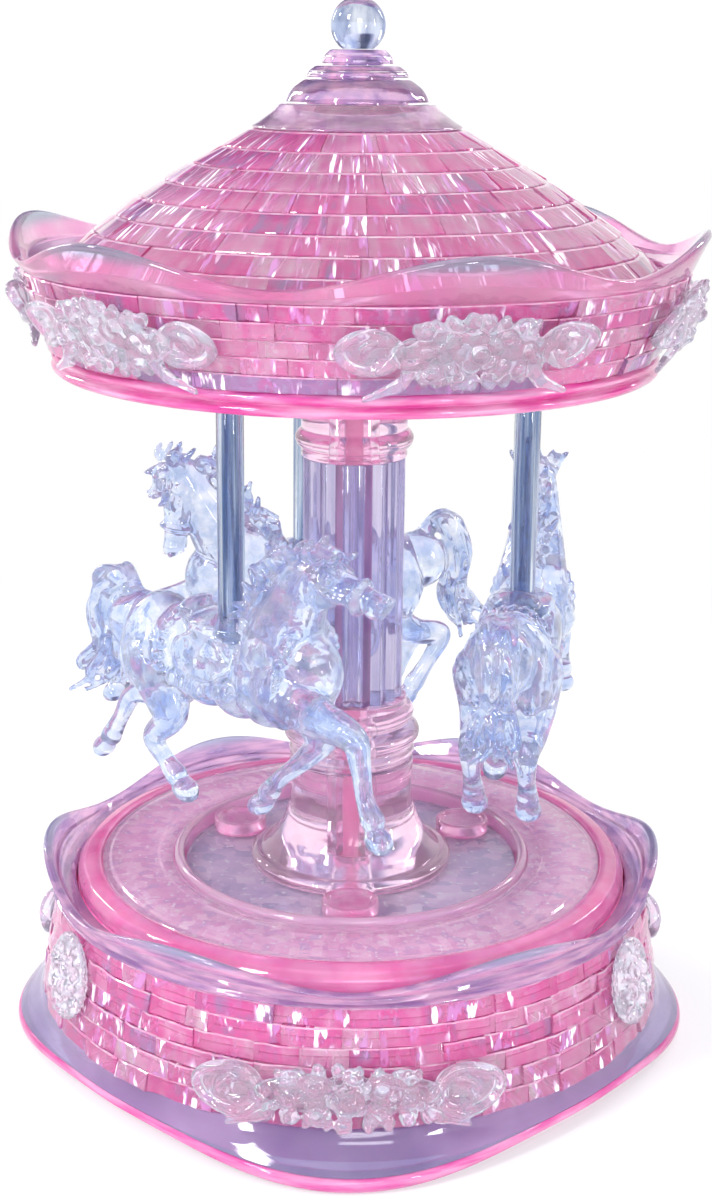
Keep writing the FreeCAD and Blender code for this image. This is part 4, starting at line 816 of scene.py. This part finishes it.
# Poles
# Three clear tubes with a slate blue tint, cut to length. They hang from the ceiling plate into sockets in
# the horses' backs.
POLE_R, POLE_BORE_R, POLE_CIRCLE = 2.1, 1.25, 28
POLE_ANGLES = [radians(-42 + 120 * k) for k in range(3)]
pole_clear = glassy(
    "pole_clear", (0.9, 0.95, 1), (0.04, 0.12, 0.34), 0.98, cloud=1, ripple=(6, 0.05), rough=0,
    drawn=UPRIGHT)
for k, angle in enumerate(POLE_ANGLES):
    foot, top = heights(f"pole_{k + 1}")
    bm = turned([(POLE_BORE_R, foot), (POLE_R, foot), (POLE_R, top - HAIR), (POLE_BORE_R, top - HAIR)],
                0.3, 48)
    ops.translate(bm, verts=bm.verts, vec=around(POLE_CIRCLE, angle, 0))
    piece(f"pole_rod_{k + 1}", bm, pole_clear, "rotor", "crystal", f"pole_{k + 1}")

# Horses
# Leaping horses moulded in clear plastic, each in one piece with its mane, tail and harness: one with a
# stretched neck and spread hind legs, two with an arched neck and gathered ones. In a mould the pole is on
# the Z axis, the back at zero and the nose along +X.
HORSE_VOXEL, HORSE_ROUNDS = 0.36, 2
THINNEST = 0.3
horse_clear = glassy(
    "horse_clear", (0.88, 0.92, 1), (0.44, 0.56, 0.84), 0.9, cloud=2.4, ripple=(1.2, 0.2), rough=0.01)


def smooth_path(joints, steps):
    """A smooth curve through joints, which carry their thickness with them."""
    rows = [Vector(joint) for joint in (joints[0], *joints, joints[-1])]
    path = []
    for a, b, c, d in zip(rows, rows[1:], rows[2:], rows[3:]):
        for k in range(steps):
            s = k / steps
            path.append(0.5 * (2 * b + (c - a) * s + (2 * a - 5 * b + 4 * c - d) * s ** 2
                               + (3 * b - a - 3 * c + d) * s ** 3))
    return path + [rows[-1]]


COARSE, MEDIUM, FINE = 0, 1, 2
BALLS = []
for fineness in (COARSE, MEDIUM, FINE):
    bm = bmesh.new()
    ops.create_icosphere(bm, subdivisions=fineness + 1, radius=MM)
    BALLS.append(as_mesh(bm))


def ball(bm, at, sizes, fineness=MEDIUM):
    """A ball placed by a matrix and stretched to three half sizes in millimetres."""
    copy = BALLS[fineness].copy()
    copy.transform(at @ Matrix.Diagonal((*sizes, 1)))
    bm.from_mesh(copy)
    bpy.data.meshes.remove(copy)


def moved(along, across, up):
    """A shift inside a mould, from millimetres."""
    return Matrix.Translation(Vector((along, across, up)) * MM)


def turns(count):
    return [2 * pi * k / count for k in range(count)]


def tube(bm, joints, steps=7):
    """A round limb through joints of (along, up, across, radius), as a run of overlapping balls."""
    for along, up, across, radius in smooth_path(joints, steps):
        ball(bm, moved(along, across, up), [max(radius, THINNEST)] * 3)


def lump(bm, along, up, across, sizes, tilt=0):
    """A rounded muscle or pad with half sizes (along, across, up), tipped nose up by an angle."""
    ball(bm, moved(along, across, up) @ Matrix.Rotation(radians(-tilt), 4, "Y"), sizes, FINE)


def strap(bm, beads, along, up, half_up, half_wide, bead, lean=0):
    """A strap round the body or the head, as a ring of beads."""
    for turn in turns(beads):
        lump(bm, along + lean * cos(turn), up + half_up * cos(turn), half_wide * sin(turn), bead)


def melted(bm, voxel_mm, rounds):
    """The balls run together into one moulded skin."""
    rough = link_mesh("rough", bm)
    blend = rough.modifiers.new("melt", "REMESH")
    blend.mode, blend.voxel_size = "VOXEL", voxel_mm * MM
    skin = bpy.data.meshes.new_from_object(rough.evaluated_get(bpy.context.evaluated_depsgraph_get()))
    bpy.data.objects.remove(rough)
    bm = bmesh.new()
    bm.from_mesh(skin)
    bpy.data.meshes.remove(skin)
    for _ in range(rounds):
        ops.smooth_vert(bm, verts=bm.verts, factor=0.5, use_axis_x=True, use_axis_y=True, use_axis_z=True)
    return bm


BRIDLE_BEAD = (0.6, 0.6, 0.6)


def horse_head(draw):
    """A head from its poll at the origin to its nose along +X, with ears, bridle, forelock and topknot."""
    bm = bmesh.new()
    tube(bm, [(0, 0, 0, 3.1), (4, -0.2, 0, 3), (8.5, -0.7, 0, 2.2), (12.4, -0.9, 0, 1.8)])
    lump(bm, 2.8, -2, 0, (2.9, 2.6, 2.7), -10)
    lump(bm, 12.9, -0.8, 0, (1.8, 2, 1.7))
    lump(bm, 12.2, -2.5, 0, (1.7, 1.5, 0.8))
    for side in (-1, 1):
        lump(bm, 14.1, -0.2, side * 1.2, (0.7, 0.6, 0.6))
        lump(bm, 4.7, 0.8, side * 2.6, (1, 0.7, 0.7))
        lump(bm, 4.9, 1.8, side * 2.2, (1.5, 0.6, 0.5), -10)
        tube(bm, [(0.4, 2, side * 1.5, 1.1), (0.2, 4, side * 1.8, 0.95), (0.9, 5.8, side * 1.9, 0.4)], 4)
        tube(bm, [(1.6, 1, side * 3, 0.5), (5.4, -1.2, side * 2.9, 0.5), (9.4, -1.2, side * 2.2, 0.5)], 8)
    strap(bm, 18, 9.4, -0.8, 2.5, 2.4, BRIDLE_BEAD)
    strap(bm, 18, 2.2, -0.6, 3.6, 3.2, BRIDLE_BEAD)
    for k in range(5):
        side = (k - 2) * 0.75
        curl, lift = draw.uniform(1.6, 4.6), draw.uniform(3, 4)
        tube(bm, [(-1.2, 2.4, side, 0.8), (0.4, lift, side * 1.5, 0.75),
                  (curl, lift - 0.4, side * 1.9, 0.65), (curl + 0.9, lift + 0.5, side * 2.1, 0.5)], 6)
    for k in range(9):
        side = (k - 4) * 0.6
        lift, reach = draw.uniform(0.4, 3.2), draw.uniform(3.8, 5.4)
        tube(bm, [(-0.6, 1.4, side, 0.85), (-0.5 * reach - 0.4, lift + 0.8, side * 1.5, 0.75),
                  (-reach, lift, side * 2, 0.45)], 6)
    return bm


RIB_HALF = 6
RIBS = ((-21, -4.4, 5.4, 4.8), (-16, -5.8, 7.6, 6.6), (-10, -6.8, 7.4, 6.4), (-4, -7.4, 7.2, 6.2),
        (3, -7.6, 7.4, 6.3), (9, -7, 8, 6.4), (13, -5.8, 7.8, 6), (16, -4.6, 6.6, 5.2))
STRETCHED_NECK = [(11, -2, 0, 6.6), (13, 3.2, 0, 5.4), (14.8, 7.4, 0.2, 4.5), (16.4, 10.8, 0.4, 3.6)]
ARCHED_NECK = [(12, -2, 0, 6.6), (16, 4, 0, 5.2), (19.6, 10, 0.3, 4.1), (22.4, 14.4, 0.6, 3.3)]
LEVEL_HEAD, HANGING_HEAD = -8, -78
HEAD_TURN = radians(6)
FORELEGS = (  # joints, then the hoof with its tilt
    [(13, -7, -3.2, 4.4), (21, -9.4, -3.7, 3.4), (28.8, -10.8, -3.9, 2.3), (30.4, -14.6, -3.9, 1.7),
     (31.4, -19.6, -3.9, 1.45), (33, -22.6, -3.9, 1.9), (34.2, -25.4, -3.9, -35)],
    [(12, -9, 3.2, 4.4), (15, -14, 3.6, 3.3), (15.2, -17.2, 3.8, 2.4), (11, -21.6, 3.8, 1.7),
     (6.4, -25.6, 3.8, 1.45), (4.2, -28.4, 3.8, 1.9), (2.4, -30.8, 3.8, -150)])
SPREAD_LEGS = (
    [(-14, -8, -3.6, 5.2), (-10.5, -14, -4.1, 3.7), (-10, -17.2, -4.2, 2.7), (-13.8, -21.4, -4.2, 1.9),
     (-11, -24.6, -4.2, 1.5), (-8.6, -26.6, -4.2, 1.9), (-6.6, -28.4, -4.2, -35)],
    [(-16, -8, 3.6, 5.2), (-15.4, -14, 4.1, 3.7), (-20, -17.6, 4.2, 2.6), (-27.6, -19.2, 4.2, 2),
     (-31.6, -24.6, 4.2, 1.5), (-34.2, -28.6, 4.2, 1.9), (-36, -30.8, 4.2, -130)])
GATHERED_LEGS = (
    [(-14, -8, -3.6, 5.2), (-13.5, -14, -4.1, 3.7), (-18, -17.4, -4.2, 2.7), (-22.6, -18.8, -4.2, 2),
     (-20.6, -23.8, -4.2, 1.5), (-18.4, -27.6, -4.2, 1.9), (-17.2, -29.8, -4.2, -50)],
    [(-16, -8, 3.6, 5.2), (-15, -13.6, 4.1, 3.7), (-19.6, -16.6, 4.2, 2.6), (-24.6, -17.6, 4.2, 2),
     (-22.2, -22.6, 4.2, 1.5), (-19.6, -26.6, 4.2, 1.9), (-18.2, -28.8, 4.2, -50)])
HOOF = (2.5, 2.2, 1.8)
TAIL = ((-20.5, -1.8, 0.3, 1.2), (-24.8, 2.6, 0.7, 0.95), (-27.8, 1.2, 1, 0.85), (-29.2, -4.4, 1.2, 0.8),
        (-28.4, -9.6, 1.3, 0.75), (-30, -14, 1.5, 0.65), (-32, -16.4, 1.8, 0.45))
LOCK = ((0, 1), (0.35, 0.8), (0.7, 0.75), (1, 0.5))


def add_mane(bm, draw, neck):
    """Three rows of waved locks that stand off the crest of the neck."""
    crest = smooth_path(neck, 3)
    for spot, ahead in zip(crest, crest[1:]):
        back = Vector((spot[1] - ahead[1], ahead[0] - spot[0])).normalized()
        for side in (-1, 0, 1):
            sweep, droop = draw.uniform(3.8, 6.2) - 1.2 * abs(side), draw.uniform(-2.8, 2)
            out = (side + draw.uniform(-0.6, 0.6)) * draw.uniform(2.4, 4.6)
            lock = []
            for share, thick in LOCK:
                reach = 0.75 * spot[3] + sweep * share
                wave = droop * sin(4 * share)
                lock.append((spot[0] + back.x * reach - back.y * wave,
                             spot[1] + back.y * reach + back.x * wave,
                             spot[2] + side * 1.2 + out * share * 0.5, thick))
            tube(bm, lock, 6)


def add_tail(bm, draw):
    """Waved locks along the tail, closer together at its root than at its end."""
    for k in range(15):
        sway, spread = 2 * sin(k * 2.4), 1.7 * cos(k * 2.4)
        start, end = draw.uniform(0, 2 * pi), draw.uniform(-3, 2)
        lock = []
        for j, (along, up, loose, thick) in enumerate(TAIL):
            wave = 0.8 * loose * sin(start + 1.8 * j)
            lock.append((along - loose * spread * 0.8 + wave, up + loose * spread * 0.4 + end * loose * 0.5,
                         loose * sway + wave, thick))
        tube(bm, lock, 9)


def add_harness(bm):
    """A saddle with its skirts and fringe, a breast strap and a girth."""
    lump(bm, -1, -0.6, 0, (7.4, 5.6, 1.9))
    lump(bm, 5.2, 0.9, 0, (1.5, 3.4, 1.7), 30)
    lump(bm, -7.4, 1.2, 0, (1.7, 4.2, 1.9), -30)
    for side in (-1, 1):
        lump(bm, -1.5, -5.4, side * 5.2, (6.6, 1.6, 4.6))
        for k in range(7):
            lump(bm, -7 + 2 * k, -9.4 - 0.5 * sin(k * pi / 6), side * 6.1, (1.1, 0.9, 1.3))
    strap(bm, 26, 15.4, -4.6, 7.6, 6.6, (1, 0.9, 0.9), lean=1.6)
    strap(bm, 26, -9.6, -6.8, 7.6, 6.8, (0.8, 0.7, 0.7))


def horse_mould(neck, tilt, hind_legs):
    """A whole horse with the given neck and hind legs, its head tipped nose up by an angle."""
    bm, draw = bmesh.new(), random.Random(5)
    for along, up, half_up, half_wide in RIBS:
        lump(bm, along, up, 0, (RIB_HALF, half_wide, half_up))
    tube(bm, neck)
    head = horse_head(draw)
    along, up, across, _ = neck[-1]
    head.transform(moved(along, across, up) @ Matrix.Rotation(HEAD_TURN, 4, "Z")
                   @ Matrix.Rotation(radians(-tilt), 4, "Y"))
    add_copy(bm, head)
    for side in (-1, 1):
        lump(bm, 13.5, -7, side * 3.6, (4.2, 3.4, 6.4), 20)
        lump(bm, -15.5, -7.5, side * 3.8, (5.4, 3.6, 6.8), -15)
    for *joints, (along, up, across, tip) in FORELEGS + hind_legs:
        tube(bm, joints)
        lump(bm, along, up, across, HOOF, tip)
    add_mane(bm, draw, neck)
    add_tail(bm, draw)
    add_harness(bm)
    return melted(bm, HORSE_VOXEL, HORSE_ROUNDS)


HORSE_BACK = DECK_TOP + 46.5
stretched = as_mesh(horse_mould(STRETCHED_NECK, LEVEL_HEAD, SPREAD_LEGS))
arched = as_mesh(horse_mould(ARCHED_NECK, HANGING_HEAD, GATHERED_LEGS))
for k, (angle, mould) in enumerate(zip(POLE_ANGLES, (stretched, arched, arched))):
    bm = bmesh.new()
    bm.from_mesh(mould)
    at = Matrix.Translation(around(POLE_CIRCLE, angle, HORSE_BACK))
    bm.transform(at @ Matrix.Rotation(angle, 4, "Z"))
    piece(f"leaping_horse_{k + 1}", bm, horse_clear, "rotor", "crystal", f"horse_{k + 1}", crease=180)
bpy.data.meshes.remove(stretched)
bpy.data.meshes.remove(arched)

# Garlands and posies
# Clear mouldings pressed onto the walls: swags of roses, berries and leaves with a bow loop and a ribbon
# tail at each end, and oval posies between them on the base. Each is moulded flat and bent to the wall.
SWAG_VOXEL, SWAG_ROUNDS = 0.28, 3
POSY_VOXEL, POSY_ROUNDS = 0.3, 1
FLAT_BACK = 0.1
WALL_GAP = 0.25
garland_clear = glassy(
    "garland_clear", (0.84, 0.93, 1), (1, 0.8, 0.94), 0.86, cloud=1.6, ripple=(1.4, 0), rough=0.005)


def rose(bm, draw, along, up, out, size, petals=5):
    """A rose: a bud in a ring of cupped petals."""
    lump(bm, along, up, -out - size * 0.3, [size * 0.42] * 3)
    start = draw.uniform(0, 2)
    for k in range(petals):
        turn = start + k * 2 * pi / petals
        spot = moved(along + size * 0.66 * cos(turn), -out, up + size * 0.66 * sin(turn))
        cup = radians(draw.uniform(-50, -25))
        ball(bm, spot @ Matrix.Rotation(-turn, 4, "Y") @ Matrix.Rotation(cup, 4, "Z"),
             (size * 0.5, size * 0.32, size * 0.5))


def leaf(bm, draw, along, up, out, size, turn):
    """A blunt leaf that lies against the wall and lifts at its tip."""
    lift = radians(draw.uniform(-30, 0))
    at = moved(along, -out, up) @ Matrix.Rotation(-turn, 4, "Y") @ Matrix.Rotation(lift, 4, "Z")
    for k in range(6):
        share = k / 5
        wide = size * 0.56 * sin(pi * (0.25 + 0.55 * share))
        ball(bm, at @ moved(size * (share * 0.8 - 0.2), 0, 0), (size * 0.3, 0.7, max(wide, 0.6)))


def bow(bm, side, along, up, out, size, drop):
    """An oval ribbon loop with a fold inside it, and the tail that hangs from its knot."""
    lump(bm, along, up, -out + 0.5, (size * 0.9, 0.5, size * 0.62))
    for fold, wire, slip in ((1, 0.85, 0), (0.55, 0.6, 0.3)):
        for turn in turns(36):
            spot = moved(along + side * size * (fold * cos(turn) - slip), -out - 0.6 * sin(turn * 2),
                         up + size * 0.7 * fold * sin(turn))
            ball(bm, spot, (wire, wire * 1.3, wire), COARSE)
    knot = along - side * size * 1.05
    rose(bm, random.Random(1), knot, up, out, 1.5, 4)
    for wide in (-0.5, 0.5):
        tube(bm, [(knot, up - 0.6, -out, 0.9), (knot - side, up - drop * 0.5, -out - 0.4, 0.8),
                  (knot + side * (0.8 + wide), up - drop * 0.85, -out, 0.8),
                  (knot + side * (3.6 + wide * 2), up - drop - wide, -out - 0.3, 0.55)], 6)


def flattened(bm):
    """A moulding with a flat back, so that it lies against the wall."""
    for vert in bm.verts:
        vert.co.y = min(vert.co.y, -FLAT_BACK * MM)
    return bm


def swag_mould(seed, length, tall, deep, drop):
    """A garland drawn flat: along X, up Z, standing out of the wall along -Y."""
    bm, draw = bmesh.new(), random.Random(seed)
    half = length / 2
    rose(bm, draw, 0, 0, deep * 0.55, tall * 0.3)
    lump(bm, 0, 0, -deep * 0.1, (half * 0.2, deep * 0.22, tall * 0.38))
    for side in (-1, 1):
        lump(bm, side * half * 0.24, 0, -deep * 0.1, (half * 0.18, deep * 0.2, tall * 0.36))
        lump(bm, side * half * 0.42, 0, -deep * 0.1, (half * 0.16, deep * 0.18, tall * 0.24))
        for k in range(9):
            out, berry = deep * draw.uniform(0.5, 0.75), draw.uniform(0.55, 0.85)
            lump(bm, side * half * (0.05 + 0.055 * k), tall * 0.34 * sin(2.3 * k), -out, [berry] * 3)
        for share, up, size in ((0.2, 0.2, 0.25), (0.19, -0.22, 0.23), (0.37, 0, 0.24), (0.36, 0.32, 0.17),
                                (0.36, -0.3, 0.16), (0.03, 0.42 * side, 0.16)):
            rose(bm, draw, side * half * share, up * tall, deep * draw.uniform(0.4, 0.55), tall * size)
        for k in range(8):
            share, edge = 0.06 + 0.06 * k, (-1) ** k
            turn = edge * draw.uniform(0.9, 1.5)
            leaf(bm, draw, side * half * share, edge * tall * (0.44 - 0.3 * share), deep * 0.35,
                 tall * draw.uniform(0.17, 0.24), turn if side > 0 else pi - turn)
        bow(bm, side, side * half * 0.76, 0.2, deep * 0.45, half * 0.21, drop)
    return melted(flattened(bm), SWAG_VOXEL, SWAG_ROUNDS)


def posy_mould():
    """An oval posy drawn flat: a rose in a ring of seven, inside a beaded rim."""
    bm, draw = bmesh.new(), random.Random(9)
    lump(bm, 0, 0, -0.6, (5.2, 0.9, 6))
    rose(bm, draw, 0, 0, 1.9, 3.2)
    for turn in turns(7):
        rose(bm, draw, 3.9 * cos(turn), 4.7 * sin(turn), 1.5, 1.7)
    for turn in turns(28):
        lump(bm, 5.4 * cos(turn), 6.2 * sin(turn), -0.8, (0.85, 0.9, 0.85))
    return melted(flattened(bm), POSY_VOXEL, POSY_ROUNDS)


def press_round(flat, name, count, first, body, node, wall, height):
    """Copies of a flat moulding bent round a leaning wall; one CAD node stands for them all."""
    mould = as_mesh(flat)
    wall_r = wall(height)
    slope = wall(height + 1) - wall_r
    for k in range(count):
        bm = bmesh.new()
        bm.from_mesh(mould)
        angle = first + k * 2 * pi / count
        for vert in bm.verts:
            along, out, up = vert.co.x / MM, -vert.co.y / MM, vert.co.z / MM
            radius = wall_r + WALL_GAP + slope * up + out
            vert.co = around(radius, angle + along / wall_r, height + up)
        nodes = (node,) if k == 0 else ()
        piece(f"{name}_{k + 1}", bm, garland_clear, body, "crystal", *nodes, crease=180)
    bpy.data.meshes.remove(mould)


CANOPY_MID = (RIM_TOP + CROWN_FOOT) / 2
SWAG_Z = PLATE_TOP + 5.6
POSY_Z = PLATE_TOP + 11
press_round(
    swag_mould(3, 37, 9.5, 4.2, 6), "canopy_garland", 6, CROWN_PHASE, "rotor", "canopy_garlands",
    canopy_wall_r, CANOPY_MID)
press_round(
    swag_mould(7, 47, 9, 4, 4.5), "base_garland", 3, 0, "base", "base_garlands", base_wall_r, SWAG_Z)
press_round(posy_mould(), "posy", 3, pi / 3, "base", "base_medallions", base_wall_r, POSY_Z)

# Movement and key
# A wind-up movement closed in under the deck: die cast frame, brass barrel, wheels and pinned drum, steel
# comb, arbors and screws, and the winged brass key under the bottom plate.
METAL_DRIFT = 0.2
BRUSH_DEPTH, BRUSH_STRENGTH = 0.04, 0.3


def worked_metal(name, colour, dark, grain_mm, rough, stretch=(1, 1, 1)):
    """Machined metal: brushed one way, duller where the grain is deep."""
    nodes = Nodes(bpy.data.materials.new(name))
    grain = speckle(nodes, grain_mm, detail=4, stretch=stretch)
    return nodes.surface(nodes.add("BsdfPrincipled", {
        "Base Color": nodes.mixed(grain, dark, colour), "Metallic": 1,
        "Roughness": rough + METAL_DRIFT * grain,
        "Normal": bumped(nodes, grain, BRUSH_DEPTH, BRUSH_STRENGTH)}))


METALS = {
    "brass": worked_metal("brass", (0.8, 0.58, 0.24), (0.62, 0.42, 0.15), 0.5, 0.22, (1, 1, 6)),
    "steel": worked_metal("steel", (0.62, 0.64, 0.67), (0.45, 0.47, 0.5), 0.4, 0.24, (6, 1, 1)),
    "zinc": worked_metal("zinc", (0.5, 0.51, 0.53), (0.36, 0.37, 0.39), 0.8, 0.45)}
for subpart in frame["record"]["subparts"]:
    if subpart["material_slot"] in METALS:
        dress(subpart["node"], METALS[subpart["material_slot"]])
